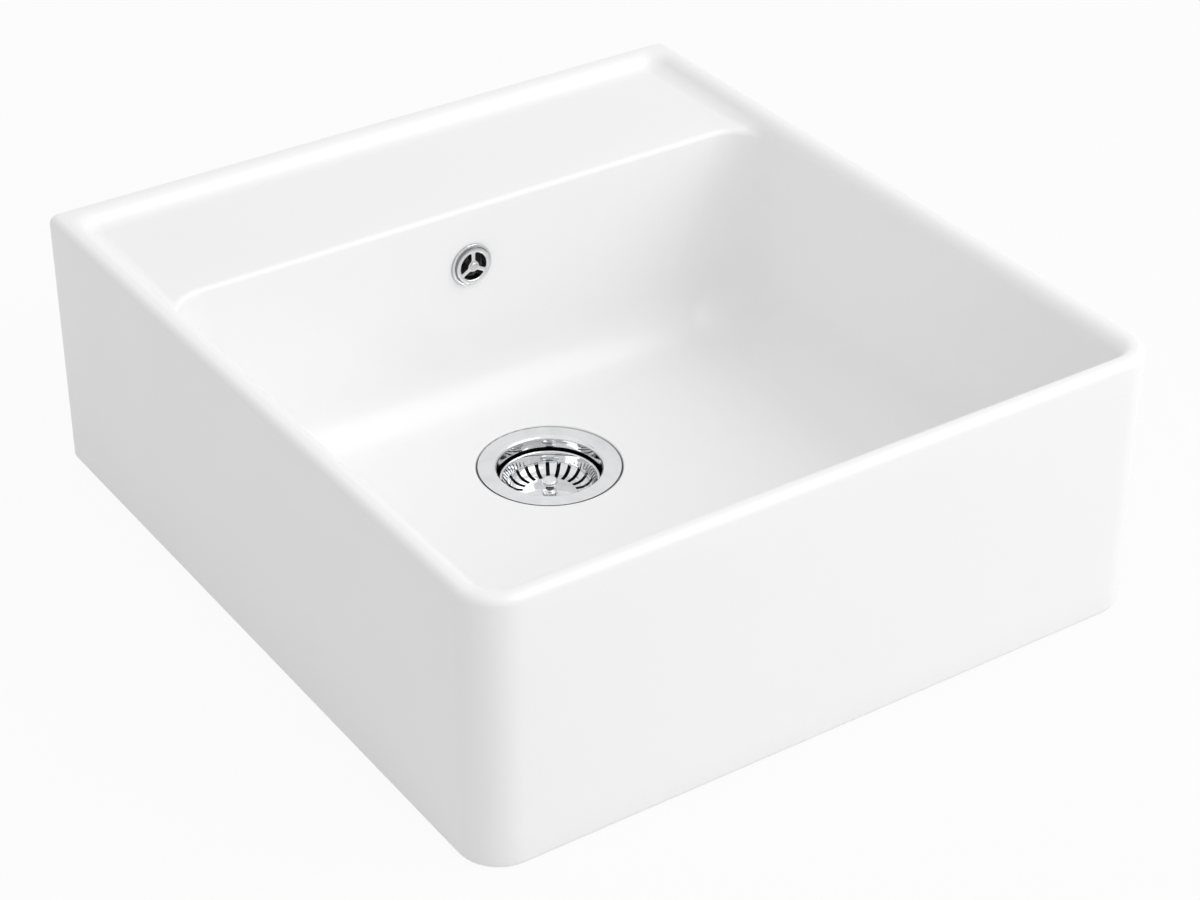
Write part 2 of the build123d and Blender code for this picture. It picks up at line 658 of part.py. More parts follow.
# Washer and open clip that hold the plug on the stem
plug_washer = ring(
    DRAIN_SECTION,
    DRAIN_AXIS,
    STEM_RADIUS + FREE_CLEARANCE,
    PLUG_WASHER_RADIUS,
    CLIP_Z,
    PLUG_WASHER_Z,
)
finish(plug_washer, "plug_washer")
with BuildPart() as plug_clip:
    with BuildSketch(Plane.XY.offset(CLIP_Z)) as clip_plan:
        with Locations((0, DRAIN_Y)):
            Circle(CLIP_RADIUS)
            Circle(STEM_RADIUS - CLIP_GROOVE + FREE_CLEARANCE, mode=Mode.SUBTRACT)
        with Locations((0, DRAIN_Y - CLIP_RADIUS / 2)):
            Rectangle(CLIP_OPENING, CLIP_RADIUS + OVERCUT, mode=Mode.SUBTRACT)
    extrude(amount=-CLIP_THICKNESS)
finish(plug_clip.part, "plug_clip")

# Thick rubber seal between the ceramic's underside and the waste body
body_seal = ring(
    DRAIN_SECTION, DRAIN_AXIS, SEAL_INNER_RADIUS, SEAL_OUTER_RADIUS, POT_TOP_Z, UNDERSIDE_RECESS
)
finish(body_seal, "body_seal")

# Waste body: flanged pot, cone and outlet, side spigot, and a ribbed hub for the screw
with BuildPart() as waste_body:
    with BuildSketch(DRAIN_SECTION) as pot_section:
        with BuildLine():
            Polyline(
                (POT_RADIUS, POT_TOP_Z),
                (POT_RADIUS, POT_FLOOR_Z),
                (OUTLET_BORE, OUTLET_TOP_Z),
                (OUTLET_BORE, OUTLET_END_Z),
                (OUTLET_RADIUS, OUTLET_END_Z),
                (OUTLET_RADIUS, OUTLET_TOP_Z - POT_WALL / 2),
                (POT_RADIUS + POT_WALL, POT_FLOOR_Z - POT_WALL / 2),
                (POT_RADIUS + POT_WALL, POT_TOP_Z - POT_FLANGE_THICKNESS),
                (POT_FLANGE_RADIUS, POT_TOP_Z - POT_FLANGE_THICKNESS),
                (POT_FLANGE_RADIUS, POT_TOP_Z),
                close=True,
            )
        make_face()
    revolve(axis=DRAIN_AXIS)
    with BuildSketch(Plane.XY.offset(HUB_TOP_Z)) as hub_plan:
        with Locations((0, DRAIN_Y)):
            Circle(HUB_RADIUS)
            with PolarLocations(POT_RADIUS / 2, HUB_RIBS, start_angle=-90):
                Rectangle(POT_RADIUS + OVERCUT, HUB_RIB)
            Circle(SCREW_RADIUS + FREE_CLEARANCE, mode=Mode.SUBTRACT)
    extrude(amount=-HUB_LENGTH)
    with BuildSketch(Plane.XY.offset(HUB_TOP_Z)) as insert_seat:
        with Locations((0, DRAIN_Y)):
            Circle(INSERT_RADIUS)
    extrude(amount=-INSERT_LENGTH, mode=Mode.SUBTRACT)
    # Spigot for the overflow hose, opening through the pot's wall
    with BuildSketch(LOWER_JOINT) as side_spigot:
        Circle(SPIGOT_OUTER)
    extrude(amount=-(SPIGOT_REACH - POT_RADIUS - OVERCUT))
    with BuildSketch(LOWER_JOINT) as side_bore:
        Circle(SPIGOT_BORE)
    extrude(amount=-(SPIGOT_REACH - POT_RADIUS / 2), mode=Mode.SUBTRACT)
finish(waste_body.part, "waste_body")

thread_insert = ring(
    DRAIN_SECTION,
    DRAIN_AXIS,
    INSERT_BORE,
    INSERT_RADIUS,
    HUB_TOP_Z - INSERT_LENGTH,
    HUB_TOP_Z,
)
finish(thread_insert, "thread_insert")

# Overflow rosette on its thin seal: raised ring, three spokes to a hub, spigot behind
rosette_seal = ring(
    OVERFLOW_SECTION,
    OVERFLOW_AXIS,
    ROSETTE_SEAL_INNER,
    ROSETTE_SEAL_OUTER,
    ROSETTE_BACK_Y,
    WALL_FACE_Y,
)
finish(rosette_seal, "rosette_seal")
with BuildPart() as overflow_rosette:
    with BuildSketch(OVERFLOW_SECTION) as rosette_section:
        with BuildLine():
            Polyline(
                (ROSETTE_OPENING + ROSETTE_EDGE, ROSETTE_FRONT_Y),
                (ROSETTE_OPENING, ROSETTE_FRONT_Y + ROSETTE_EDGE),
                (ROSETTE_OPENING, ROSETTE_BACK_Y + ROSETTE_SPIGOT_LENGTH),
                (ROSETTE_OPENING + ROSETTE_SPIGOT_WALL, ROSETTE_BACK_Y + ROSETTE_SPIGOT_LENGTH),
                (ROSETTE_OPENING + ROSETTE_SPIGOT_WALL, ROSETTE_BACK_Y),
                (ROSETTE_RADIUS, ROSETTE_BACK_Y),
                (ROSETTE_RADIUS, ROSETTE_BACK_Y - ROSETTE_EDGE),
            )
            Spline(
                (ROSETTE_RADIUS, ROSETTE_BACK_Y - ROSETTE_EDGE),
                (ROSETTE_FACE_RADIUS, ROSETTE_FRONT_Y),
                tangents=((0, -1), (-1, 0)),
            )
            Line(
                (ROSETTE_FACE_RADIUS, ROSETTE_FRONT_Y),
                (ROSETTE_OPENING + ROSETTE_EDGE, ROSETTE_FRONT_Y),
            )
        make_face()
    revolve(axis=OVERFLOW_AXIS)
    with BuildSketch(HUB_FRONT) as hub_and_spokes:
        Circle(ROSETTE_HUB_RADIUS)
        with PolarLocations(ROSETTE_OPENING / 2, SPOKE_COUNT, start_angle=-90):
            Rectangle(ROSETTE_OPENING + ROSETTE_EDGE, SPOKE_WIDTH)
        Circle(OVERFLOW_SCREW_RADIUS + FREE_CLEARANCE, mode=Mode.SUBTRACT)
    extrude(amount=SPOKE_THICKNESS)
finish(overflow_rosette.part, "overflow_rosette")

# Screw through the rosette's hub into the overflow head
with BuildPart() as overflow_screw:
    with BuildSketch(OVERFLOW_SECTION) as long_screw:
        with BuildLine():
            Polyline(
                (0, HUB_FRONT_Y - OVERFLOW_SCREW_HEAD_HEIGHT),
                (0, HUB_FRONT_Y + OVERFLOW_SCREW_LENGTH),
                (OVERFLOW_SCREW_RADIUS, HUB_FRONT_Y + OVERFLOW_SCREW_LENGTH),
                (OVERFLOW_SCREW_RADIUS, HUB_FRONT_Y),
                (OVERFLOW_SCREW_HEAD, HUB_FRONT_Y),
            )
            Spline(
                (OVERFLOW_SCREW_HEAD, HUB_FRONT_Y),
                (0, HUB_FRONT_Y - OVERFLOW_SCREW_HEAD_HEIGHT),
                tangents=((0, -1), (-1, 0)),
            )
        make_face()
    revolve(axis=OVERFLOW_AXIS)
finish(overflow_screw.part, "overflow_screw")

# Gasket, overflow head and its threaded insert, behind the bowl's wall
overflow_gasket = ring(
    OVERFLOW_SECTION,
    OVERFLOW_AXIS,
    OVERFLOW_GASKET_INNER,
    OVERFLOW_GASKET_RADIUS,
    WALL_BACK_Y,
    HEAD_FACE_Y,
)
finish(overflow_gasket, "overflow_gasket")
with BuildPart() as overflow_head:
    with BuildSketch(OVERFLOW_SECTION) as head_section:
        with BuildLine():
            Polyline(
                (0, HEAD_FACE_Y),
                (HEAD_FLANGE_RADIUS, HEAD_FACE_Y),
                (HEAD_FLANGE_RADIUS, HEAD_FACE_Y + HEAD_FLANGE_THICKNESS),
                (HEAD_RADIUS, HEAD_FACE_Y + HEAD_FLANGE_THICKNESS),
                (HEAD_RADIUS, HEAD_END_Y),
                (0, HEAD_END_Y),
                close=True,
            )
        make_face()
    revolve(axis=OVERFLOW_AXIS)
    with BuildSketch(UPPER_JOINT) as drop_spigot:
        Circle(SPIGOT_OUTER)
    extrude(amount=-HEAD_DROP)
    with BuildSketch(UPPER_JOINT) as drop_bore:
        Circle(SPIGOT_BORE)
    extrude(amount=-(HEAD_DROP - HEAD_BORE / 2), mode=Mode.SUBTRACT)
    with BuildSketch(OVERFLOW_SECTION) as chamber_section:
        with BuildLine():
            Polyline(
                (0, HEAD_FACE_Y),
                (HEAD_BORE, HEAD_FACE_Y),
                (HEAD_BORE, HEAD_END_Y - POT_WALL),
                (0, HEAD_END_Y - POT_WALL),
                close=True,
            )
        make_face()
    revolve(axis=OVERFLOW_AXIS, mode=Mode.SUBTRACT)
    add(
        ring(
            OVERFLOW_SECTION,
            OVERFLOW_AXIS,
            HEAD_INSERT_RADIUS,
            HEAD_BOSS_RADIUS,
            BOSS_Y,
            HEAD_END_Y,
        )
    )
finish(overflow_head.part, "overflow_head")

overflow_insert = ring(
    OVERFLOW_SECTION,
    OVERFLOW_AXIS,
    OVERFLOW_SCREW_RADIUS + FREE_CLEARANCE,
    HEAD_INSERT_RADIUS,
    BOSS_Y,
    BOSS_Y + HEAD_INSERT_LENGTH,
)
finish(overflow_insert, "overflow_insert")


def union_nut(joint):
    """Return a hose nut on a joint plane: lugged ring with a lip beyond the spigot's end."""
    with BuildPart() as made:
        with BuildSketch(joint.offset(-NUT_OVERLAP)):
            Circle(NUT_RADIUS)
            with PolarLocations(NUT_RADIUS, NUT_LUGS):
                Circle(NUT_LUG_RADIUS)
            Circle(SPIGOT_OUTER + FREE_CLEARANCE, mode=Mode.SUBTRACT)
        extrude(amount=NUT_LENGTH)
        with BuildSketch(joint.offset(NUT_LENGTH - NUT_OVERLAP - NUT_LIP)):
            Circle(SPIGOT_OUTER + OVERCUT)
            Circle(NUT_LIP_BORE, mode=Mode.SUBTRACT)
        extrude(amount=NUT_LIP)
    return made.part


def cone_washer(joint):
    """Return the tapered rubber ring that a nut squeezes against its spigot's end."""
    length = NUT_LENGTH - NUT_OVERLAP - NUT_LIP
    with BuildPart() as made:
        with BuildSketch(joint):
            Circle(CONE_WASHER_RADIUS)
        with BuildSketch(joint.offset(length)):
            Circle(CONE_WASHER_NOSE)
        loft()
        with BuildSketch(joint):
            Circle(CONE_WASHER_BORE)
        extrude(amount=length, mode=Mode.SUBTRACT)
    return made.part


finish(union_nut(UPPER_JOINT), "overflow_nut_upper")
finish(union_nut(LOWER_JOINT), "overflow_nut_lower")
finish(cone_washer(UPPER_JOINT), "cone_washer_upper")
finish(cone_washer(LOWER_JOINT), "cone_washer_lower")

# Ribbed hose: down from the overflow head, a quarter bend, and in to the waste body
HOSE_START_Z = HOSE_TOP_Z + HOSE_INSERTION
HOSE_BEND_Z = HOSE_LOW_Z + HOSE_BEND
HOSE_DROP = HOSE_START_Z - HOSE_BEND_Z
HOSE_RUN = HOSE_TOP_Y - HOSE_BEND - (HOSE_LOW_Y - HOSE_INSERTION)
HOSE_LENGTH = HOSE_DROP + HOSE_BEND * math.pi / 2 + HOSE_RUN


def hose_plane(place):
    """Return the plane square to the hose at a distance along it, X kept level."""
    if place <= HOSE_DROP:
        height, depth, turn = HOSE_START_Z - place, HOSE_TOP_Y, 0.0
    elif place >= HOSE_LENGTH - HOSE_RUN:
        turn = math.pi / 2
        height, depth = HOSE_LOW_Z, HOSE_TOP_Y - HOSE_BEND - (place - HOSE_LENGTH + HOSE_RUN)
    else:
        turn = (place - HOSE_DROP) / HOSE_BEND
        height = HOSE_BEND_Z - HOSE_BEND * math.sin(turn)
        depth = HOSE_TOP_Y - HOSE_BEND * (1 - math.cos(turn))
    way = (0, -math.sin(turn), -math.cos(turn))
    return Plane(origin=(0, depth, height), x_dir=(1, 0, 0), z_dir=way)


def hose_circle(place, radius):
    """Return the hose's round section at a distance along it."""
    with BuildSketch(hose_plane(place)) as round_section:
        Circle(radius)
    return round_section.sketch.faces()[0]


with BuildPart() as overflow_hose:
    rib_pitch = (HOSE_LENGTH - 2 * HOSE_CUFF) / HOSE_RIBS
    circles = [hose_circle(0, HOSE_ROOT)]
    for rib in range(HOSE_RIBS):
        for share, radius in RIB_PROFILE:
            circles.append(hose_circle(HOSE_CUFF + rib_pitch * (rib + share), radius))
    circles.append(hose_circle(HOSE_LENGTH, HOSE_ROOT))
    loft(circles, ruled=True)
    bend_share = math.cos(math.pi / 4)
    with BuildLine(Plane.YZ) as hose_path:
        Line((HOSE_TOP_Y, HOSE_START_Z), (HOSE_TOP_Y, HOSE_BEND_Z))
        ThreePointArc(
            (HOSE_TOP_Y, HOSE_BEND_Z),
            (HOSE_TOP_Y - HOSE_BEND * (1 - bend_share), HOSE_BEND_Z - HOSE_BEND * bend_share),
            (HOSE_TOP_Y - HOSE_BEND, HOSE_LOW_Z),
        )
        Line((HOSE_TOP_Y - HOSE_BEND, HOSE_LOW_Z), (HOSE_LOW_Y - HOSE_INSERTION, HOSE_LOW_Z))
    with BuildSketch(hose_plane(0)) as hose_bore:
        Circle(HOSE_BORE)
    sweep(path=hose_path.wires()[0], mode=Mode.SUBTRACT)
finish(overflow_hose.part, "overflow_hose")
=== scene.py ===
"""Looks of a farmhouse apron front sink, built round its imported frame.

The glazed body, the strainer waste, the lift-out basket and the overflow each have an
operator, and the stage has one of its own. The scene is in metres, +Z up, -Y the apron front.
New meshes are laid out in millimetres, and MM turns those into metres.
"""

import math

import bmesh
import bpy
from bpy.props import FloatProperty, FloatVectorProperty, PointerProperty
from mathutils import Matrix, Vector


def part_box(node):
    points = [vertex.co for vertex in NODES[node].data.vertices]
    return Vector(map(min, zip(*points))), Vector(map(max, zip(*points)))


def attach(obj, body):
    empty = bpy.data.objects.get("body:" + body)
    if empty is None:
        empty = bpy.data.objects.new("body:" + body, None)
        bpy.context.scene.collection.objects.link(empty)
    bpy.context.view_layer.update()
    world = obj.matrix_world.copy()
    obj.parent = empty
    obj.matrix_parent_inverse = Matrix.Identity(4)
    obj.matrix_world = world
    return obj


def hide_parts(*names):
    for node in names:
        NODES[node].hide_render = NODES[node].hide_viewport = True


bl_info = {
    "name": "Farmhouse Sink",
    "version": (1, 0, 0),
    "blender": (4, 5, 0),
    "location": "View3D > Sidebar > Sink",
    "description": "Adds the pieces of an apron front sink round its frame",
    "category": "Add Mesh",
}

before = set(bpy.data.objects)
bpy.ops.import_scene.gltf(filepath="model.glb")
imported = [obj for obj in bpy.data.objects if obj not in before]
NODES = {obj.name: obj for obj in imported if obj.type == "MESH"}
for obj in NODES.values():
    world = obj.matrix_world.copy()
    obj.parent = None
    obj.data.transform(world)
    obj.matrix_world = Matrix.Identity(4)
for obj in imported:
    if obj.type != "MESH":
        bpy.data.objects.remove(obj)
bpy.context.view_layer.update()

MM = 0.001
QUARTER = math.pi / 2
NEAR = 1e-6
BODY_LOW, BODY_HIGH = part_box("sink_body")
CUP_LOW, CUP_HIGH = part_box("waste_cup")
DRAIN = Vector(((CUP_LOW.x + CUP_HIGH.x) / 2, (CUP_LOW.y + CUP_HIGH.y) / 2, 0))
ROSETTE_LOW, ROSETTE_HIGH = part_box("overflow_rosette")
OVERFLOW = Vector((0, 0, (ROSETTE_LOW.z + ROSETTE_HIGH.z) / 2))


# ---------------------------------------------------------------- shader maths


class Shade:
    """A shader socket, or the result of an expression on sockets."""

    def __init__(self, nodes, socket):
        self.nodes = nodes
        self.socket = socket

    def _math(self, operation, first, second):
        return self.nodes.add("ShaderNodeMath", {"operation": operation}, {0: first, 1: second})

    def __add__(self, other):
        return self._math("ADD", self, other)

    __radd__ = __add__

    def __mul__(self, other):
        return self._math("MULTIPLY", self, other)

    __rmul__ = __mul__

    def __sub__(self, other):
        return self._math("SUBTRACT", self, other)

    def __rsub__(self, other):
        return self._math("SUBTRACT", other, self)

    def least(self, other):
        return self._math("MINIMUM", self, other)

    def most(self, other):
        return self._math("MAXIMUM", self, other)

    def over(self, other):
        """1 where this is above another value, and 0 elsewhere."""
        return self._math("GREATER_THAN", self, other)


class Nodes:
    """A node tree under construction."""

    def __init__(self, owner):
        owner.use_nodes = True
        self.tree = owner.node_tree
        self.tree.nodes.clear()

    def add(self, kind, settings, inputs, output=0):
        """Add a node: its settings first, then its sockets' values or links."""
        node = self.tree.nodes.new(kind)
        for key, value in settings.items():
            setattr(node, key, value)
        for key, value in inputs.items():
            if isinstance(value, Shade):
                self.tree.links.new(value.socket, node.inputs[key])
            else:
                node.inputs[key].default_value = value
        return Shade(self, node.outputs[output])

    def seen_by(self, *kinds):
        """1 for rays of any of these kinds, and 0 for others."""
        first, *others = (self.add("ShaderNodeLightPath", {}, {}, kind) for kind in kinds)
        for other in others:
            first = first.most(other)
        return first

    def end(self, kind, shader):
        """Link the last shader to an output node."""
        output = self.tree.nodes.new(kind)
        self.tree.links.new(shader.socket, output.inputs["Surface"])


class Finish(Nodes):
    """A material under construction, and the few node patterns that the pieces share."""

    def __init__(self, name):
        self.material = bpy.data.materials.new(name)
        super().__init__(self.material)
        self.place = self.add("ShaderNodeTexCoord", {}, {}, "Object")

    def noise(self, scale, detail=2.0):
        return self.add(
            "ShaderNodeTexNoise", {}, {"Vector": self.place, "Scale": scale, "Detail": detail}
        )

    def between(self, value, low, high, to_low=0.0, to_high=1.0):
        """Ease from one number to another as a value goes from low to high."""
        return self.add(
            "ShaderNodeMapRange",
            {"interpolation_type": "SMOOTHSTEP"},
            {
                "Value": value,
                "From Min": low,
                "From Max": high,
                "To Min": to_low,
                "To Max": to_high,
            },
        )

    def blend(self, factor, first, second):
        """Mix two colours."""
        return self.add(
            "ShaderNodeMix",
            {"data_type": "RGBA"},
            {"Factor": factor, 6: colour(first), 7: colour(second)},
            2,
        )

    def bump(self, height, strength, distance):
        return self.add(
            "ShaderNodeBump",
            {},
            {"Strength": strength, "Distance": distance, "Height": height},
        )

    def open_air(self, reach):
        """0 in deep corners and 1 in the open, judged within a short reach."""
        openness = self.add("ShaderNodeAmbientOcclusion", {"samples": 8}, {"Distance": reach}, 1)
        return self.between(openness, 0.25, 0.85)

    def vector(self, operation, first, second):
        return self.add("ShaderNodeVectorMath", {"operation": operation}, {0: first, 1: second})

    def inside(self, low, high):
        """1 inside a box of the object's own coordinates, and 0 outside."""
        above = self.vector("SUBTRACT", self.place, low)
        below = self.vector("SUBTRACT", high, self.place)
        room = self.vector("MULTIPLY", above, below)
        x, y, z = (self.add("ShaderNodeSeparateXYZ", {}, {0: room}, axis) for axis in range(3))
        return x.least(y).least(z).over(0.0)

    def layer(self, low, high):
        """1 between two heights, and 0 above and below."""
        return self.inside((-1, -1, low), (1, 1, high))

    def around(self, centre, axis):
        """The distance from an axis through a point, for turned pieces."""
        moved = self.vector("SUBTRACT", self.place, tuple(centre))
        flat = self.vector("MULTIPLY", moved, tuple(1.0 - abs(a) for a in axis))
        return self.add("ShaderNodeVectorMath", {"operation": "LENGTH"}, {0: flat}, 1)

    def band(self, radius, inner, outer, soft_in, soft_out):
        """1 between two radii, with soft edges inside the first and outside the second."""
        rise = self.between(radius, inner - soft_in, inner)
        fall = self.between(radius, outer, outer + soft_out)
        return rise * (1 - fall)

    def close(self, **inputs):
        """Finish with the main shader. Names are its sockets, with spaces for underscores."""
        shader = self.add(
            "ShaderNodeBsdfPrincipled",
            {},
            {
                key.replace("_", " "): colour(value) if key == "Base_Color" else value
                for key, value in inputs.items()
            },
        )
        self.end("ShaderNodeOutputMaterial", shader)
        return self.material


def colour(value):
    """Return a colour with its alpha, or pass a link on."""
    if isinstance(value, Shade) or len(value) == 4:
        return value
    return (*value, 1.0)


def dimmed(tint, share):
    """A colour at a share of its strength."""
    return [c * share for c in tint]


# ---------------------------------------------------------------- finishes


WHITE = (1.0, 1.0, 1.0, 1.0)
STEEL = (0.66, 0.67, 0.69)
BRASS = (0.78, 0.60, 0.30)
SEAT_RADIUS = 0.038
RING_STEP = 0.016


def raw_clay(f, wall_y):
    """1 on the land, in the recess and in the pocket behind the bowl, where no glaze is."""
    low, high = BODY_LOW, BODY_HIGH
    left, right = low.x + 20 * MM, high.x - 20 * MM
    land = f.inside((low.x, low.y, -MM), (high.x, high.y, 0.5 * MM))
    recess = f.inside((left, low.y + 20 * MM, -MM), (right, wall_y - 9 * MM, 12.5 * MM))
    pocket = f.inside((left, wall_y + 21.5 * MM, -MM), (right, high.y - 21.5 * MM, 210 * MM))
    return land.most(recess).most(pocket)


def glaze(settings):
    """White fireclay glaze, soft in its gloss, over raw clay that shows underneath."""
    f = Finish("white_glaze")
    waves, dimples = f.noise(9.0), f.noise(150.0)
    specks = f.between(f.noise(900.0, 1.0), 0.74, 0.80)
    cloud = f.between(f.noise(5.0, 3.0), 0.35, 0.65)
    white = f.blend(cloud, settings.white, dimmed(settings.white, 0.996))
    glazed = f.blend(specks * 0.12, white, (0.66, 0.63, 0.58))
    mottle = f.between(f.noise(240.0, 4.0), 0.35, 0.7)
    clay = f.blend(mottle, (0.66, 0.62, 0.55), (0.58, 0.53, 0.46))
    wall_y = BODY_HIGH.y - settings.ledge_depth
    bare = raw_clay(f, wall_y)
    tint = f.blend(bare, glazed, clay)

    # Shade in the overflow's bore, behind its front edge
    half, z = 13.7 * MM, OVERFLOW.z
    bore = f.inside((-half, wall_y + 1.2 * MM, z - half), (half, wall_y + 30 * MM, z + half))
    tint = f.blend(bore, tint, (0.10, 0.09, 0.08))

    # Dark sealant line round the waste's flange, with painted shade of the gap there
    radius = f.around(DRAIN, (0, 0, 1))
    ring = f.band(radius, 58.6 * MM, 59.7 * MM, 0.4 * MM, 0.3 * MM)
    sealant_and_gap_shade = ring * f.layer(20 * MM, 30.5 * MM)
    tint = f.blend(sealant_and_gap_shade * 0.72, tint, (0.05, 0.05, 0.05))
    return f.close(
        Base_Color=tint,
        Roughness=f.between(f.noise(14.0), 0.3, 0.7, 0.29, 0.34) + bare * 0.45,
        IOR=1.5,
        Coat_Weight=0.12,
        Coat_Roughness=0.16,
        Normal=f.bump(waves * 0.8 + dimples * 0.06, 0.10, 0.002),
    )


def polished_steel(name, tint, rough, reach, seat=None):
    """Bright sheet metal with fine lines turned about the drain, and painted shade in its crevices.

    The seat is two heights, between which the basket's rim keeps light off the cup's wall.
    """
    f = Finish(name)
    radius = f.around(DRAIN, (0, 0, 1))
    lines = f.add(
        "ShaderNodeTexNoise",
        {"noise_dimensions": "1D"},
        {"W": radius * 2600.0, "Scale": 1.0, "Detail": 2.0},
    )
    smears = f.between(f.noise(60.0, 3.0), 0.35, 0.7)
    steel = f.blend(smears, tint, dimmed(tint, 0.93))
    # Painted shade in the crevices, darkest where least open
    steel = f.blend(f.open_air(reach), dimmed(tint, 0.18), steel)
    if seat:
        shade = f.layer(*seat) * f.between(radius, SEAT_RADIUS, SEAT_RADIUS + MM)
        steel = f.blend(shade, steel, (0.01, 0.01, 0.01))
    return f.close(
        Base_Color=steel,
        Metallic=1.0,
        Roughness=f.between(smears * 0.6 + lines * 0.4, 0.2, 0.8, rough, rough + 0.05),
        Normal=f.bump(lines, 0.10, 0.00003),
    )


def chrome(name, step=None, neck=None):
    """Mirror-bright plating with faint wiping marks, and painted shade in its crevices.

    Painted shade darkens it too at a step, a radius about the overflow, and on a neck, between two
    heights.
    """
    f = Finish(name)
    marks = f.noise(220.0)
    bright = f.blend(f.between(marks, 0.4, 0.7), (0.80, 0.81, 0.82), (0.74, 0.75, 0.77))
    # Painted shade in the crevices
    plated = f.blend(f.open_air(4 * MM), (0.08, 0.08, 0.085), bright)
    if step:
        # Painted shadow line round the step of the rosette's raised ring
        radius = f.around(OVERFLOW, (0, 1, 0))
        step_shadow_line = f.band(radius, step, step + 0.4 * MM, 0.4 * MM, 0.4 * MM)
        plated = f.blend(step_shadow_line * 0.8, plated, (0.10, 0.10, 0.105))
    if neck:
        # Painted shade on the knob's neck
        plated = f.blend(f.layer(*neck) * 0.85, plated, (0.05, 0.05, 0.055))
    return f.close(
        Base_Color=plated,
        Metallic=1.0,
        Roughness=f.between(marks, 0.3, 0.8, 0.03, 0.06),
    )


def turned_metal(name, tint, rough):
    """Machined metal with a fine grain."""
    f = Finish(name)
    grain = f.noise(1400.0, 3.0)
    return f.close(
        Base_Color=f.blend(f.between(grain, 0.35, 0.7), tint, dimmed(tint, 0.86)),
        Metallic=1.0,
        Roughness=f.between(grain, 0.3, 0.7, rough, rough + 0.12),
        Normal=f.bump(grain, 0.15, 0.00003),
    )


def rubber(name, tint):
    """Matt moulded rubber with a dusty bloom."""
    f = Finish(name)
    bloom = f.between(f.noise(160.0, 4.0), 0.40, 0.75)
    pores = f.noise(2200.0)
    return f.close(
        Base_Color=f.blend(bloom * 0.35, tint, [c + 0.05 for c in tint]),
        Roughness=f.between(bloom, 0.0, 1.0, 0.55, 0.72),
        Normal=f.bump(pores, 0.25, 0.00008),
    )


def moulded(name, tint, rough=0.36):
    """Moulded plastic with a fine spark-eroded grain and slight colour drift."""
    f = Finish(name)
    drift = f.between(f.noise(30.0), 0.35, 0.7)
    grain = f.noise(1600.0)
    return f.close(
        Base_Color=f.blend(drift, tint, dimmed(tint, 0.955)),
        Roughness=f.between(grain, 0.3, 0.7, rough, rough + 0.12),
        Specular_IOR_Level=0.45,
        Normal=f.bump(grain, 0.18, 0.00005),
    )


def pale_floor():
    """A pale floor that the camera and reflections see nearly white, with a light shadow."""
    f = Finish("pale_floor")
    faint = f.between(f.noise(3.0), 0.3, 0.7)
    grey = f.blend(faint, (0.75, 0.75, 0.75), (0.74, 0.74, 0.74))
    matt = f.add("ShaderNodeBsdfDiffuse", {}, {"Color": grey})
    white = f.add("ShaderNodeEmission", {}, {"Color": WHITE, "Strength": 1.0})
    share = f.seen_by("Is Camera Ray", "Is Glossy Ray") * 0.92
    mix = f.add("ShaderNodeMixShader", {}, {0: share, 1: matt, 2: white})
    f.end("ShaderNodeOutputMaterial", mix)
    return f.material


# ---------------------------------------------------------------- mesh helpers


def shown(name, bm, material, body, nodes, sharp):
    """Turn a finished bmesh into a smooth-shaded piece that stands for CAD nodes."""
    mesh = bpy.data.meshes.new(name)
    bm.to_mesh(mesh)
    bm.free()
    mesh.shade_smooth()
    mesh.set_sharp_from_angle(angle=math.radians(sharp))
    piece = bpy.data.objects.new(name, mesh)
    bpy.context.scene.collection.objects.link(piece)
    piece.data.materials.append(material)
    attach(piece, body)
    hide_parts(*nodes)


def smooth_copies(body, *pieces):
    """Show smooth copies of CAD nodes needing no new shape: each node, material and unused slot."""
    for node, material, slot in pieces:
        bm = bmesh.new()
        bm.from_mesh(NODES[node].data)
        bmesh.ops.remove_doubles(bm, verts=bm.verts, dist=2e-6)
        shown(node + "_piece", bm, material, body, [node], 30.0)


def skin(rows):
    """A surface through rows of points, each row a closed loop, as a bent grid."""
    bm = bmesh.new()
    across = len(rows[0])
    bmesh.ops.create_grid(bm, x_segments=across, y_segments=len(rows) - 1, size=1.0)
    bm.verts.ensure_lookup_table()
    for r, row in enumerate(rows):
        for c in range(across + 1):
            bm.verts[r * (across + 1) + c].co = Vector(row[c % across]) * MM
    bmesh.ops.remove_doubles(bm, verts=bm.verts, dist=1e-7)
    return bm


def loop_of(bm, points):
    """A closed wire loop through points."""
    verts = [bm.verts.new(Vector(p) * MM) for p in points]
    return [bm.edges.new((a, b)) for a, b in zip(verts, verts[1:] + verts[:1])]


def circle(centre, radius, upright, steps=40):
    """Points round a circle that is upright and faces along Y, or that lies level."""
    points = []
    for i in range(steps):
        turn = 2 * math.pi * (i + 0.5) / steps
        u, v = radius * math.cos(turn), radius * math.sin(turn)
        x, y, z = centre
        points.append((x + u, y, z + v) if upright else (x + u, y + v, z))
    return points


def fill(bm, edges):
    bmesh.ops.triangle_fill(bm, use_beauty=True, use_dissolve=False, edges=edges)


def rim_edges(bm, test):
    """Edges that still lack a face, among those whose ends pass a test."""
    return [e for e in bm.edges if len(e.link_faces) < 2 and all(test(v.co) for v in e.verts)]


def verts_of(geom):
    return [g for g in geom if isinstance(g, bmesh.types.BMVert)]


def raise_loop(bm, edges, height):
    """Extrude a loop straight up into a wall. Returns the edges of the wall's top."""
    raised = bmesh.ops.extrude_edge_only(bm, edges=edges)["geom"]
    verts = verts_of(raised)
    bmesh.ops.translate(bm, verts=verts, vec=(0, 0, height * MM))
    edges = [g for g in raised if isinstance(g, bmesh.types.BMEdge)]
    return [e for e in edges if all(v in verts for v in e.verts)]


# ---------------------------------------------------------------- glazed body outlines

# Columns of points round the right half, from the front's middle to the back's
FRONT_STEPS = 26
CORNER_STEPS = 12
SIDE_STEPS = 26
LEDGE_STEPS = 26
BACK_STEPS = 18

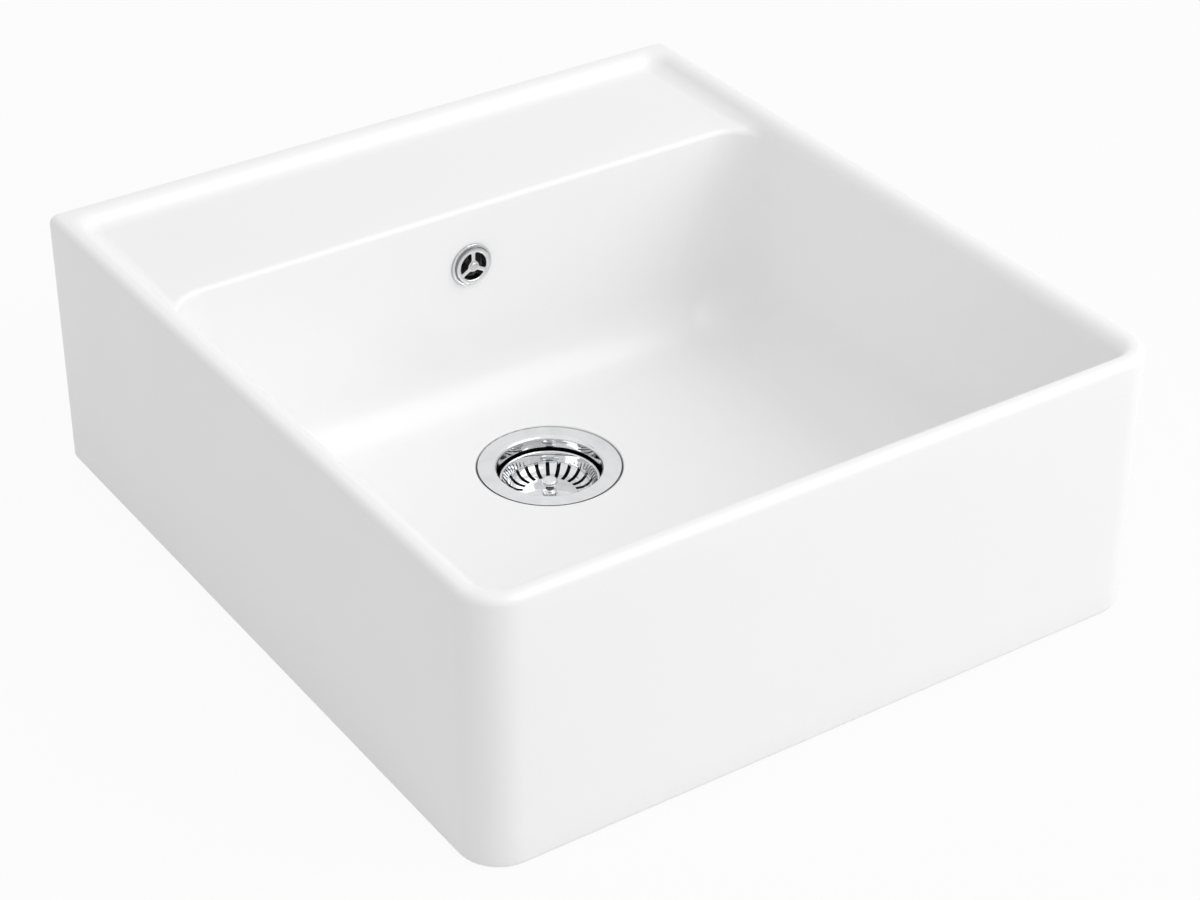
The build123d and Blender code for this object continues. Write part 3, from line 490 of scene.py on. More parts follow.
# Rows of points in the stretches of the profile
BASE_ROWS = 4
OUTSIDE_ROWS = 10
EDGE_ROWS = 8
ROLL_ROWS = 7
COVE_ROWS = 10
SHELF_ROWS = 6
LIP_ROWS = 8
LOW_WALL_HEIGHTS = (124.0, 110.0, 98.0, 88.0)
FILLET_ROWS = 14
FLOOR_ROWS = 14

# Outside, rolled rim and ledge. The cove and the shelf fade with the room beside the bowl.
BASE_EDGE = 5.0
TOP_EDGE = 7.0
BACK_CORNER_SHARE = 0.7
ROLL_REACH = 12.0
FRONT_ROLL_REACH = 7.0
RIM_CORNER = 18.0
TRAY_CORNER = 15.0
CORNER_GROWTH = 7.0
COVE_HEIGHT = 6.5
COVE_REACH = 12.0
COVE_FADE = 20.0
SHELF_FADE = 26.0
LIP_DROP = 0.8
HANDLE = 0.42
SLIGHT_TURN = 0.02

# Bowl, floor, waste hole and overflow hole. The floor's last ring lies outside the rebate.
DRAFT = 15.0
FOOT_CORNER = 60.0
FLOOR_HEIGHT = 30.0
FLOOR_FALL = math.tan(math.radians(1.0))
FLOOR_RING = 63.0
REBATE_RADIUS = 60.0
REBATE_HEIGHT = 28.0
DRAIN_HOLE = 45.2
OVERFLOW_HOLE = 13.5
HOLE_SQUARE = 24.0

# Underside
WALL = 22.0
RECESS_INSET = 32.0
RECESS_CORNER = 30.0
RECESS_HEIGHT = 12.0
RECESS_LIP = 0.8
POCKET_CORNER = 20.0
LEDGE_THICKNESS = 20.0
KNOCKOUT_PLACES = (-140.0, 0.0, 140.0)
KNOCKOUT_RADIUS = 17.5
KNOCKOUT_DEPTH = 10.0


def back_run(start, y):
    """Points along a back edge, from its corner to the middle, with columns for the overflow."""
    steps = BACK_STEPS - 2
    xs = [start + (HOLE_SQUARE - start) * i / steps for i in range(steps + 1)]
    return [(x, y) for x in xs + [HOLE_SQUARE / 2, 0.0]]


def arc(cx, cy, radius, start, end, steps):
    """Points along an arc, without its last."""
    turns = [start + (end - start) * i / steps for i in range(steps)]
    return [(cx + radius * math.cos(t), cy + radius * math.sin(t)) for t in turns]


def run(start, end, steps):
    """Points along a line, without its last."""
    return [tuple(a + (b - a) * i / steps for a, b in zip(start, end)) for i in range(steps)]


def beside_ledge(split, end):
    """Places along a side beside the ledge, closest together where the ledge begins."""
    return [split + (end - split) * (i / LEDGE_STEPS) ** 1.6 for i in range(LEDGE_STEPS)]


def corner_turns(radius, length):
    """Turn of each column on the bowl's back corner, where columns cross the ledge squarely."""
    turns = [math.atan2(y, radius) for y in beside_ledge(0.0, length)]
    last = math.atan2(length, radius)
    return turns + [last + (QUARTER - last) * i / CORNER_STEPS for i in range(CORNER_STEPS)]


def front_plan(half, front, radius, end):
    """Points from the front's middle round its corner and along the side, without the last."""
    return (
        run((0.0, front), (half - radius, front), FRONT_STEPS)
        + arc(half - radius, front + radius, radius, -QUARTER, 0, CORNER_STEPS)
        + run((half, front + radius), (half, end), SIDE_STEPS)
    )


def box_plan(half, front, back, front_radius, back_radius, split):
    """Right half of a rounded outline, from the front's middle to the back's."""
    return (
        front_plan(half, front, front_radius, split)
        + [(half, y) for y in beside_ledge(split, back - back_radius)]
        + arc(half - back_radius, back - back_radius, back_radius, 0, QUARTER, CORNER_STEPS)
        + back_run(half - back_radius, back)
    )


def bowl_plan(half, front, back, front_radius, back_radius, turns):
    """The same columns on a bowl outline, whose back corner takes the ledge's columns too."""
    cx, cy = half - back_radius, back - back_radius
    return (
        front_plan(half, front, front_radius, cy)
        + [(cx + back_radius * math.cos(t), cy + back_radius * math.sin(t)) for t in turns]
        + back_run(cx, back)
    )


def pocket_plan(front, back):
    """Right half of the pocket's outline, with one long edge along its front."""
    half = (BODY_HIGH.x - BODY_LOW.x) / MM / 2 - WALL
    r = POCKET_CORNER
    return (
        [(0.0, front)]
        + arc(half - r, front + r, r, -QUARTER, 0, 8)
        + arc(half - r, back - r, r, 0, QUARTER, 8)
        + [(half - r, back), (0.0, back)]
    )


def inward(turns):
    """Inward direction of each column, from the turns of those beside the ledge."""
    turns = (
        [-QUARTER] * FRONT_STEPS
        + [-QUARTER + QUARTER * i / CORNER_STEPS for i in range(CORNER_STEPS)]
        + [0.0] * SIDE_STEPS
        + turns
        + [QUARTER] * (BACK_STEPS + 1)
    )
    return [(-math.cos(t), -math.sin(t)) for t in turns]


def mirrored(half):
    """A whole loop from its right half, which starts and ends on the middle plane."""
    return half + [(-x, y, z) for x, y, z in reversed(half[1:-1])]


def level_loop(plan, z):
    """A whole level loop from the right half of its outline."""
    return mirrored([(x, y, z) for x, y in plan])


def mixed(first, second, share):
    """Points between two lists of points in plan."""
    return [(a + (c - a) * share, b + (d - b) * share) for (a, b), (c, d) in zip(first, second)]


def clearance(point, line):
    """The distance from a point to a line of points."""
    best = math.inf
    for a, b in zip(line, line[1:]):
        along, across = (b[0] - a[0], b[1] - a[1]), (point[0] - a[0], point[1] - a[1])
        size = along[0] ** 2 + along[1] ** 2
        share = (across[0] * along[0] + across[1] * along[1]) / size if size else 0.0
        share = min(1.0, max(0.0, share))
        best = min(best, math.hypot(across[0] - along[0] * share, across[1] - along[1] * share))
    return best


def ease(value):
    """Rise smoothly from 0 to 1."""
    value = min(1.0, max(0.0, value))
    return value * value * (3 - 2 * value)


def curve(p0, p1, p2, p3, t):
    """A point on a cubic curve."""
    a, b, c, d = (1 - t) ** 3, 3 * t * (1 - t) ** 2, 3 * t * t * (1 - t), t**3
    return tuple(a * w + b * x + c * y + d * z for w, x, y, z in zip(p0, p1, p2, p3))


class BodyShape:
    """Places, heights and outlines of the glazed body, in millimetres."""

    def __init__(self, s):
        self.half = (BODY_HIGH.x - BODY_LOW.x) / MM / 2
        self.front, self.back = BODY_LOW.y / MM, BODY_HIGH.y / MM
        self.top = BODY_HIGH.z / MM
        self.drop = s.ledge_drop / MM
        self.ledge = self.top - self.drop
        self.ledge_front = self.back - s.ledge_depth / MM
        self.ledge_edge = s.ledge_edge / MM
        self.rim_back = self.back - s.upstand / MM
        self.front_corner = s.front_corner / MM
        self.back_corner = s.back_corner / MM
        self.fillet = s.floor_fillet / MM
        self.drain = (DRAIN.x / MM, DRAIN.y / MM)
        self.overflow = OVERFLOW.z / MM
        self.bowl_half = self.half - s.side_wall / MM
        self.bowl_front = self.front + s.front_wall / MM
        corner = s.bowl_corner / MM
        self.split = self.ledge_front - corner

        # The bowl's mouth and foot, between which its walls are drafted
        turns = corner_turns(corner, self.rim_back - TRAY_CORNER - self.split)
        self.mouth = bowl_plan(
            self.bowl_half, self.bowl_front, self.ledge_front, RIM_CORNER, corner, turns
        )
        self.foot = bowl_plan(
            self.bowl_half - DRAFT, self.bowl_front + DRAFT, self.ledge_front,
            FOOT_CORNER, FOOT_CORNER, turns,
        )
        self.columns = range(len(self.mouth))
        self.bowl_inward = inward(turns)
        box_turns = [QUARTER * i / CORNER_STEPS for i in range(CORNER_STEPS)]
        self.inward = inward([0.0] * LEDGE_STEPS + box_turns)
        self.tray = self.roll(0.0)

    def outside(self, inset, z):
        """A loop round the outside, pulled in by an inset."""
        plan = box_plan(
            self.half - inset, self.front + inset, self.back - inset,
            self.front_corner - inset, self.back_corner - inset * BACK_CORNER_SHARE, self.split,
        )
        return level_loop(plan, z)

    def roll(self, turn):
        """Outline of the rolled rim at a turn of its profile: 0 at the tray, a quarter on top."""
        share = 1 - math.cos(turn)
        return box_plan(
            self.bowl_half + ROLL_REACH * share,
            self.bowl_front - FRONT_ROLL_REACH * share,
            self.rim_back + ROLL_REACH * share,
            RIM_CORNER + CORNER_GROWTH * share,
            TRAY_CORNER + CORNER_GROWTH * share,
            self.split,
        )

    def roll_height(self, turn):
        return self.ledge + self.drop * math.sin(turn)

    def wall(self, i, z):
        """A column's place on the bowl's wall at a height."""
        share = (self.ledge - z) / self.ledge
        return tuple(m + (f - m) * share for m, f in zip(self.mouth[i], self.foot[i]))

    def floor(self, x, y):
        """Height of the bowl's floor, which falls to the drain."""
        return FLOOR_HEIGHT + FLOOR_FALL * math.dist((x, y), self.drain)

    def recess(self):
        """Outline of the shallow recess underneath the bowl."""
        inset, corner = RECESS_INSET, RECESS_CORNER
        back = self.ledge_front + WALL - inset
        return box_plan(
            self.half - inset, self.front + inset, back, corner, corner, back - 2 * corner
        )


# ---------------------------------------------------------------- glazed body rows


def outside_rows(b):
    """Loops over the base edge, the outside and the top's outer edge."""
    rows = []
    for i in range(BASE_ROWS + 1):
        turn = QUARTER * i / BASE_ROWS
        rows.append(b.outside(BASE_EDGE * (1 - math.sin(turn)), BASE_EDGE * (1 - math.cos(turn))))
    rise = b.top - TOP_EDGE - BASE_EDGE
    rows += [b.outside(0.0, BASE_EDGE + rise * i / OUTSIDE_ROWS) for i in range(1, OUTSIDE_ROWS)]
    for i in range(EDGE_ROWS + 1):
        turn = QUARTER * i / EDGE_ROWS
        height = b.top - TOP_EDGE + TOP_EDGE * math.sin(turn)
        rows.append(b.outside(TOP_EDGE * (1 - math.cos(turn)), height))
    return rows


def stepped_column(b, i, gap, start, lean):
    """A column over the cove, the ledge and its rounded front edge.

    The cove and the rounding shrink with the gap between the tray's edge and the bowl's mouth.
    Start is the cove's top, and lean is a point on the rolled rim just above it.
    """
    reach = COVE_REACH * (1 - math.exp(-gap / COVE_FADE))
    rounding = b.ledge_edge * (1 - math.exp(-gap / (2 * b.ledge_edge)))
    (nx, ny), (bx, by) = b.inward[i], b.bowl_inward[i]
    (x, y), (mx, my) = b.tray[i], b.mouth[i]
    foot = Vector((x + nx * reach, y + ny * reach, b.ledge))
    edge = Vector((mx - bx * rounding, my - by * rounding, b.ledge))
    low = b.ledge - b.ledge_edge - LIP_DROP
    wall = Vector((*b.wall(i, low), low))
    down = (start - lean).normalized()
    level = edge - foot
    level = level.normalized() if level.length > NEAR else Vector((nx, ny, 0))
    away = (foot - start).length * HANDLE
    bend = (wall - edge).length * HANDLE
    cove = (start, start + down * away, foot - level * away, foot)
    lip = (edge, edge + level * bend, wall + Vector((0, 0, bend)), wall)
    return (
        [curve(*cove, k / COVE_ROWS) for k in range(1, COVE_ROWS + 1)]
        + [foot.lerp(edge, k / SHELF_ROWS) for k in range(1, SHELF_ROWS + 1)]
        + [curve(*lip, k / LIP_ROWS) for k in range(1, LIP_ROWS + 1)]
    )


def rim_rows(b):
    """Loops over the rolled rim and the ledge, which fades into the wall where it narrows."""
    cove_turn = math.asin(COVE_HEIGHT / b.drop)
    rows = []
    for i in range(ROLL_ROWS + 1):
        turn = QUARTER + (cove_turn - QUARTER) * i / ROLL_ROWS
        rows.append(level_loop(b.roll(turn), b.roll_height(turn)))

    # Plain rows, straight from the rim to the wall
    steps = COVE_ROWS + SHELF_ROWS + LIP_ROWS
    plain = []
    for k in range(1, steps + 1):
        z = b.ledge + COVE_HEIGHT - (COVE_HEIGHT + b.ledge_edge + LIP_DROP) * k / steps
        plan = b.roll(math.asin(max(0.0, z - b.ledge) / b.drop))
        plain.append((z, plan, ease(k / steps)))

    starts, leans = b.roll(cove_turn), b.roll(cove_turn + SLIGHT_TURN)
    lean_height = b.roll_height(cove_turn + SLIGHT_TURN)
    columns = []
    for i in b.columns:
        gap = clearance(b.tray[i], b.mouth)
        start = Vector((*starts[i], b.ledge + COVE_HEIGHT))
        stepped = stepped_column(b, i, gap, start, Vector((*leans[i], lean_height)))
        shelf = ease(gap / SHELF_FADE)
        column = []
        for point, (z, plan, share) in zip(stepped, plain):
            wall = b.wall(i, min(z, b.ledge))
            (place,) = mixed([plan[i]], [wall], share)
            column.append(tuple(Vector((*place, z)).lerp(Vector(point), shelf)))
        columns.append(column)
    return rows + [mirrored(list(row)) for row in zip(*columns)]


def wall_rows(b):
    """Loops down the bowl's walls, with rows for the overflow's square."""
    heights = [b.overflow + HOLE_SQUARE * step / 2 for step in (3, 2, 1, 0, -1, -2)]
    heights += LOW_WALL_HEIGHTS
    return [level_loop([b.wall(i, z) for i in b.columns], z) for z in heights]


def fillet_column(b, i):
    """A column over the fillet between the bowl's wall and its floor.

    The floor's height is taken where a fillet from low on the wall would end.
    """
    nx, ny = b.bowl_inward[i]
    x, y = b.wall(i, FLOOR_HEIGHT + 4.0)
    floor = b.floor(x + nx * b.fillet, y + ny * b.fillet)
    column = []
    for k in range(FILLET_ROWS + 1):
        turn = QUARTER * k / FILLET_ROWS
        z = floor + b.fillet * (1 - math.sin(turn))
        depth = b.fillet * (1 - math.cos(turn))
        x, y = b.wall(i, z)
        column.append((x + nx * depth, y + ny * depth, z))
    return column


def ring(b, edge, radius):
    """Points on a circle round the drain, each towards its point of the floor's edge."""
    points = []
    for x, y in edge:
        x, y = x - b.drain[0], y - b.drain[1]
        size = math.hypot(x, y)
        points.append((b.drain[0] + x / size * radius, b.drain[1] + y / size * radius))
    return points


def floor_rows(b):
    """Loops over the fillet, the floor, the waste's rebate and hole, and the recess."""
    rows = [list(row) for row in zip(*(fillet_column(b, i) for i in b.columns))]
    edge = [(x, y) for x, y, _ in rows[-1]]
    for k in range(1, FLOOR_ROWS + 1):
        plan = mixed(edge, ring(b, edge, FLOOR_RING), (k / FLOOR_ROWS) ** 0.9)
        rows.append([(x, y, b.floor(x, y)) for x, y in plan])
    rows = [mirrored(row) for row in rows]

    lip = FLOOR_HEIGHT + FLOOR_FALL * REBATE_RADIUS
    rebate, hole, step, under = REBATE_RADIUS, DRAIN_HOLE, REBATE_HEIGHT, RECESS_HEIGHT
    for radius, z in (
        (rebate + 1.2, lip), (rebate + 0.5, lip - 0.3), (rebate + 0.1, lip - 0.9),
        (rebate, lip - 1.6), (rebate, step + 0.5), (rebate - 0.4, step), (rebate - 8.0, step),
        (hole + 1.4, step), (hole + 0.4, step - 0.4), (hole, step - 1.4), (hole, step - 8.0),
        (hole, under + 1.0), (hole + 1.0, under), (rebate - 8.0, under), (rebate, under),
    ):
        rows.append(level_loop(ring(b, edge, radius), z))

    recess = b.recess()
    for share in (0.3, 0.6, 0.9, 0.985):
        rows.append(level_loop(mixed(ring(b, edge, REBATE_RADIUS), recess, share), under))
    rows += [level_loop(recess, z) for z in (under - 1.0, under / 2, 1.0)]
    lip = [(x - nx * RECESS_LIP, y - ny * RECESS_LIP) for (x, y), (nx, ny) in zip(recess, b.inward)]
    return rows + [level_loop(lip, 0.0)]


# ---------------------------------------------------------------- glazed body mesh


def cut_overflow(bm, b):
    """Give a square of the bowl's back wall a round hole. Returns the hole's edges."""

    def in_square(face):
        middle = face.calc_center_median() / MM
        return (
            abs(middle.x) < HOLE_SQUARE
            and abs(middle.z - b.overflow) < HOLE_SQUARE
            and abs(middle.y - b.ledge_front) < 0.5
        )

    def round_square(point):
        level = abs(point.z / MM - b.overflow) < 1.25 * HOLE_SQUARE
        return level and abs(point.y / MM - b.ledge_front) < 0.5

    bmesh.ops.delete(bm, geom=[face for face in bm.faces if in_square(face)], context="FACES")
    square = rim_edges(bm, round_square)
    hole = loop_of(bm, circle((0.0, b.ledge_front, b.overflow), OVERFLOW_HOLE, True))
    fill(bm, square + hole)
    return hole


def add_pocket(bm, b, near_hole):
    """Add the pocket behind the bowl, open below, with the hole through its front wall."""
    front, back = b.ledge_front + WALL, b.back - WALL
    ceiling = b.ledge - LEDGE_THICKNESS
    raise_loop(bm, loop_of(bm, level_loop(pocket_plan(front, back), 0.0)), ceiling)

    def on_front(point):
        return abs(point.y - front * MM) < NEAR

    faces = [f for f in bm.faces if all(on_front(v.co) for v in f.verts)]
    bmesh.ops.delete(bm, geom=faces, context="FACES_ONLY")
    middle = rim_edges(bm, lambda p: on_front(p) and abs(p.x) < NEAR)
    bmesh.ops.delete(bm, geom=middle, context="EDGES")
    border = rim_edges(bm, on_front)
    far_hole = loop_of(bm, circle((0.0, front, b.overflow), OVERFLOW_HOLE, True))
    fill(bm, border + far_hole)
    bmesh.ops.bridge_loops(bm, edges=near_hole + far_hole)

    # Ceiling with its blind knock-outs
    for x in KNOCKOUT_PLACES:
        edge = loop_of(bm, circle((x, (front + back) / 2, ceiling), KNOCKOUT_RADIUS, False))
        fill(bm, raise_loop(bm, edge, KNOCKOUT_DEPTH))
    fill(bm, rim_edges(bm, lambda p: abs(p.z - ceiling * MM) < NEAR and p.y > b.ledge_front * MM))


def glazed_body_mesh(s):
    """The glazed body: its rows of loops, the overflow's hole, the pocket and the land."""
    b = BodyShape(s)
    bm = skin(outside_rows(b) + rim_rows(b) + wall_rows(b) + floor_rows(b))
    add_pocket(bm, b, cut_overflow(bm, b))

    # Land that the sink stands on, between the base edge, the recess and the pocket
    fill(bm, rim_edges(bm, lambda p: abs(p.z) < NEAR))
    bmesh.ops.remove_doubles(bm, verts=bm.verts, dist=NEAR)
    bmesh.ops.recalc_face_normals(bm, faces=bm.faces)
    return bm


# ---------------------------------------------------------------- overflow rosette

SPOKES = 3
SPOKE_HALF = 1.75
HUB_RADIUS = 5.0
HUB_SET_BACK = 0.5
HUB_STEPS = 4
WINDOW_RADIUS = 12.2
WINDOW_CORNER = 1.3
WINDOW_EDGE = 0.3
WINDOW_STEPS = 12
PLATE_RADIUS = 12.9
PLATE_THICKNESS = 1.4
SPIGOT_RADIUS = 13.1
SPIGOT_LENGTH = 6.0
RAISED_RADIUS = 16.1


def window(bm, turn, y, z):
    """One of the rosette's windows, between two spokes, as a loop with rounded corners."""
    points = []
    for radius, steps, way in ((WINDOW_RADIUS, WINDOW_STEPS, 1), (HUB_RADIUS, HUB_STEPS, -1)):
        gap = math.asin(SPOKE_HALF / radius)
        first, last = turn + gap, turn + 2 * math.pi / SPOKES - gap
        turns = [first + (last - first) * i / steps for i in range(steps + 1)]
        points += [(radius * math.cos(t), y, z + radius * math.sin(t)) for t in turns[::way]]
    corners = (0, WINDOW_STEPS, WINDOW_STEPS + 1, WINDOW_STEPS + 1 + HUB_STEPS)
    verts = [bm.verts.new(Vector(p) * MM) for p in points]
    bm.faces.new(verts)
    bmesh.ops.bevel(
        bm, geom=[verts[i] for i in corners], offset=WINDOW_CORNER * MM, segments=5,
        profile=0.5, affect="VERTICES", material=-1,
    )

    # The newest face is the rounded one, and only its edges stay
    bm.faces.ensure_lookup_table()
    face = bm.faces[-1]
    edges = list(face.edges)
    bmesh.ops.delete(bm, geom=[face], context="FACES_ONLY")
    return edges


def add_spokes(bm, y, z):
    """Add the spokes and the hub, as a plate with three windows."""
    rim = loop_of(bm, circle((0.0, y, z), PLATE_RADIUS, True, 72))
    windows = []
    for i in range(SPOKES):
        windows += window(bm, QUARTER + 2 * math.pi * i / SPOKES, y, z)
    fill(bm, rim + windows)
    thick = bmesh.ops.extrude_face_region(bm, geom=bm.faces[:], use_keep_orig=True)["geom"]
    bmesh.ops.translate(bm, verts=verts_of(thick), vec=(0, PLATE_THICKNESS * MM, 0))

    def beside_window(vert):
        reach = math.hypot(vert.co.x, vert.co.z - z * MM)
        return abs(vert.co.y - y * MM) < NEAR and reach < (PLATE_RADIUS - 0.4) * MM

    soft = [
        e for e in bm.edges
        if all(beside_window(v) for v in e.verts)
        and len(e.link_faces) == 2 and e.calc_face_angle(0.0) > 1.0
    ]
    bmesh.ops.bevel(
        bm, geom=soft, offset=WINDOW_EDGE * MM, segments=2, profile=0.5, affect="EDGES",
        material=-1,
    )


def rosette_mesh():
    """The rosette: a flange, a raised ring and a spigot turned in one, with three spokes."""
    front, back = ROSETTE_LOW.y / MM, ROSETTE_HIGH.y / MM - SPIGOT_LENGTH
    outer, z = (ROSETTE_HIGH.x - ROSETTE_LOW.x) / MM / 2, OVERFLOW.z / MM
    bm = bmesh.new()
    add_spokes(bm, front + HUB_SET_BACK, z)

    opening, ring, end = WINDOW_RADIUS, RAISED_RADIUS, back + SPIGOT_LENGTH
    section = (
        (ring - 0.9, front), (opening + 1.3, front), (opening + 0.7, front + 0.12),
        (opening + 0.2, front + 0.5), (opening, front + 1.1), (opening, end),
        (SPIGOT_RADIUS, end), (SPIGOT_RADIUS, back), (outer, back), (outer, back - 0.6),
        (outer - 0.25, back - 0.9), (outer - 0.7, back - 1.0), (ring + 0.65, back - 1.0),
        (ring + 0.3, back - 1.1), (ring + 0.15, back - 1.4), (ring, front + 0.7),
        (ring - 0.25, front + 0.2),
    )
    verts = [bm.verts.new(Vector((r, y, z)) * MM) for r, y in section]
    edges = [bm.edges.new((a, b)) for a, b in zip(verts, verts[1:] + verts[:1])]
    bmesh.ops.spin(
        bm, geom=verts + edges, cent=(0, 0, z * MM), axis=(0, 1, 0), dvec=(0, 0, 0),
        angle=2 * math.pi, steps=96, use_merge=True, use_duplicate=False,
    )
    bmesh.ops.recalc_face_normals(bm, faces=bm.faces)
    return bm


# ---------------------------------------------------------------- settings


def metres(name, description, default):
    """A length setting."""
    return FloatProperty(name=name, description=description, default=default, unit="LENGTH")


def degrees(name, description, default):
    """An angle setting, given in degrees."""
    turn = math.radians(default)
    return FloatProperty(name=name, description=description, default=turn, subtype="ANGLE")


def paint(name, description, default):
    """A colour setting."""
    return FloatVectorProperty(
        name=name, description=description, default=default, subtype="COLOR", size=3, min=0, max=1
    )


class SinkBodySettings(bpy.types.PropertyGroup):
    """Sizes and colour of the glazed body."""

    white: paint("Glaze", "Colour of the glaze", (0.95, 0.95, 0.95))
    side_wall: metres("Side Wall", "Thickness of the side walls at the rim", 0.021)
    front_wall: metres("Front Wall", "Thickness of the apron front at the rim", 0.016)
    upstand: metres("Upstand", "Thickness of the upstand behind the ledge", 0.022)
    ledge_drop: metres("Ledge Drop", "Depth of the tap ledge below the rim", 0.0115)
    ledge_depth: metres("Ledge Depth", "From the back face to the ledge's front edge", 0.1575)
    ledge_edge: metres("Ledge Edge", "Rounding of the ledge's front edge", 0.0045)
    front_corner: metres("Front Corner", "Outer radius of the apron's corners", 0.034)
    back_corner: metres("Back Corner", "Outer radius of the back's corners", 0.008)
    bowl_corner: metres("Bowl Corner", "Radius of the bowl's back corners at the ledge", 0.035)
    floor_fillet: metres("Floor Fillet", "Radius where the bowl's walls meet its floor", 0.045)


class SinkWasteSettings(bpy.types.PropertyGroup):
    """Colours of the waste, the basket and the overflow."""

    steel: paint("Steel", "Colour of the pressed steel", (0.78, 0.79, 0.80))
    plastic: paint("Plastic", "Colour of the moulded waste body", (0.80, 0.80, 0.79))
    hose: paint("Hose", "Colour of the ribbed hose", (0.66, 0.67, 0.68))


class SinkStageSettings(bpy.types.PropertyGroup):
    """Camera and light."""

    lens: FloatProperty(
        name="Lens", description="Focal length on a 36 mm sensor, in millimetres", default=88.63
    )
    azimuth: degrees("Azimuth", "Camera's turn round the sink", -33.954)
    elevation: degrees("Elevation", "Camera's height angle", 32.593)
    roll: degrees("Roll", "Camera's tilt", 0.165)
    surround: FloatProperty(
        name="Surround", description="Strength of the even light all round", default=0.685
    )
    key: FloatProperty(
        name="Key", description="Power of the main light, in watts", default=83.0
    )


# ---------------------------------------------------------------- operators


class SINK_OT_glazed_body(bpy.types.Operator):
    """Add the glazed fireclay body"""

    bl_idname = "sink.glazed_body"
    bl_label = "Glazed Body"

    def execute(self, context):
        s = context.scene.sink_body
        shown(
            "glazed_body", glazed_body_mesh(s), glaze(s), "sink", ["sink_body"], 70.0
        )
        return {"FINISHED"}


class SINK_OT_waste(bpy.types.Operator):
    """Add the waste cup, its seals, screws and the waste body"""

    bl_idname = "sink.waste"
    bl_label = "Waste"

    def execute(self, context):
        s = context.scene.sink_waste
        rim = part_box("basket")[1].z
        seat = (rim - 6 * MM, rim + 2.2 * MM)
        steel = polished_steel("polished_cup_steel", s.steel, 0.05, 11 * MM, seat)
        hardware = turned_metal("turned_steel", STEEL, 0.28)
        white = moulded("white_moulded_plastic", s.plastic)
        black = rubber("black_rubber", (0.035, 0.035, 0.038))
        foam = rubber("seal_foam", (0.30, 0.30, 0.29))
        brass = turned_metal("brass", BRASS, 0.24)
        smooth_copies(
            "sink",
            ("waste_cup", steel, "polished_steel"),
            ("flange_seal", foam, "clear_seal"),
            ("screw_washer", hardware, "steel_hardware"),
            ("body_screw", hardware, "steel_hardware"),
            ("thread_insert", brass, "brass_insert"),
            ("body_seal", black, "black_rubber"),
            ("waste_body", white, "white_plastic"),
        )
        return {"FINISHED"}


class SINK_OT_basket(bpy.types.Operator):
    """Add the lift-out strainer basket with its knob and plug"""

    bl_idname = "sink.basket"
    bl_label = "Basket"

    def execute(self, context):
        s = context.scene.sink_waste
        low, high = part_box("basket_knob")
        tall = high.z - low.z
        # Heights of the painted shade on the knob's neck
        neck = (low.z + tall * 0.34, low.z + tall * 0.62)
        steel = polished_steel("polished_basket_steel", s.steel, 0.035, 6 * MM)
        white = moulded("white_plug_plastic", s.plastic)
        hardware = turned_metal("turned_plug_steel", STEEL, 0.28)
        plated = chrome("knob_chrome", neck=neck)
        black = rubber("plug_rubber", (0.04, 0.04, 0.042))
        smooth_copies(
            "basket",
            ("basket", steel, "polished_steel"),
            ("basket_knob", plated, "chromed_knob"),
            ("basket_stem", white, "white_plastic"),
            ("plug_carrier", white, "white_plastic"),
            ("plug_seal", black, "black_rubber"),
            ("plug_washer", hardware, "steel_hardware"),
            ("plug_clip", hardware, "steel_hardware"),
        )
        return {"FINISHED"}


class SINK_OT_overflow(bpy.types.Operator):
    """Add the overflow rosette, its screw, the head behind the wall and the ribbed hose"""

    bl_idname = "sink.overflow"
    bl_label = "Overflow"

    def execute(self, context):
        s = context.scene.sink_waste
        white = moulded("white_overflow_plastic", s.plastic)
        black = rubber("overflow_rubber", (0.04, 0.04, 0.042))
        grey = rubber("grey_rubber", (0.16, 0.165, 0.17))
        plated = chrome("rosette_chrome", step=RING_STEP)
        steel = turned_metal("screw_steel", (0.70, 0.71, 0.72), 0.2)
        # Painted shade: the rosette's seal is dark to stand for the shadow in the gap round the
        # rosette
        foam = rubber("rosette_seal_painted_shade", (0.16, 0.16, 0.155))
        brass = turned_metal("insert_brass", BRASS, 0.24)
        hose = moulded("hose_plastic", s.hose, 0.42)
        shown(
            "overflow_rosette_piece", rosette_mesh(), plated, "sink",
            ["overflow_rosette"], 35.0,
        )
        smooth_copies(
            "sink",
            ("overflow_screw", steel, "steel_hardware"),
            ("rosette_seal", foam, "clear_seal"),
            ("overflow_gasket", black, "black_rubber"),
            ("overflow_head", white, "white_plastic"),
            ("overflow_insert", brass, "brass_insert"),
            ("overflow_nut_upper", white, "white_plastic"),
            ("overflow_nut_lower", white, "white_plastic"),
            ("cone_washer_upper", grey, "grey_rubber"),
            ("cone_washer_lower", grey, "grey_rubber"),
            ("overflow_hose", hose, "hose_plastic"),
        )
        return {"FINISHED"}


GROUND_HALF = 4000.0
GROUND_HEIGHT = -0.6
OPENING_INSET = 14.0
KEY_PLACE = Vector((1.95, -2.4, 2.7))
KEY_TARGET = Vector((0, 0, 0.1))
KEY_SIDE = 4.2
CAMERA_PLACE = Vector((-1.0905, -1.6417, 1.3322))


def ground_loop(bm, low, high):
    """A rectangle on the ground, between two corners."""
    corners = ((low[0], low[1]), (high[0], low[1]), (high[0], high[1]), (low[0], high[1]))
    return loop_of(bm, [(x, y, GROUND_HEIGHT) for x, y in corners])


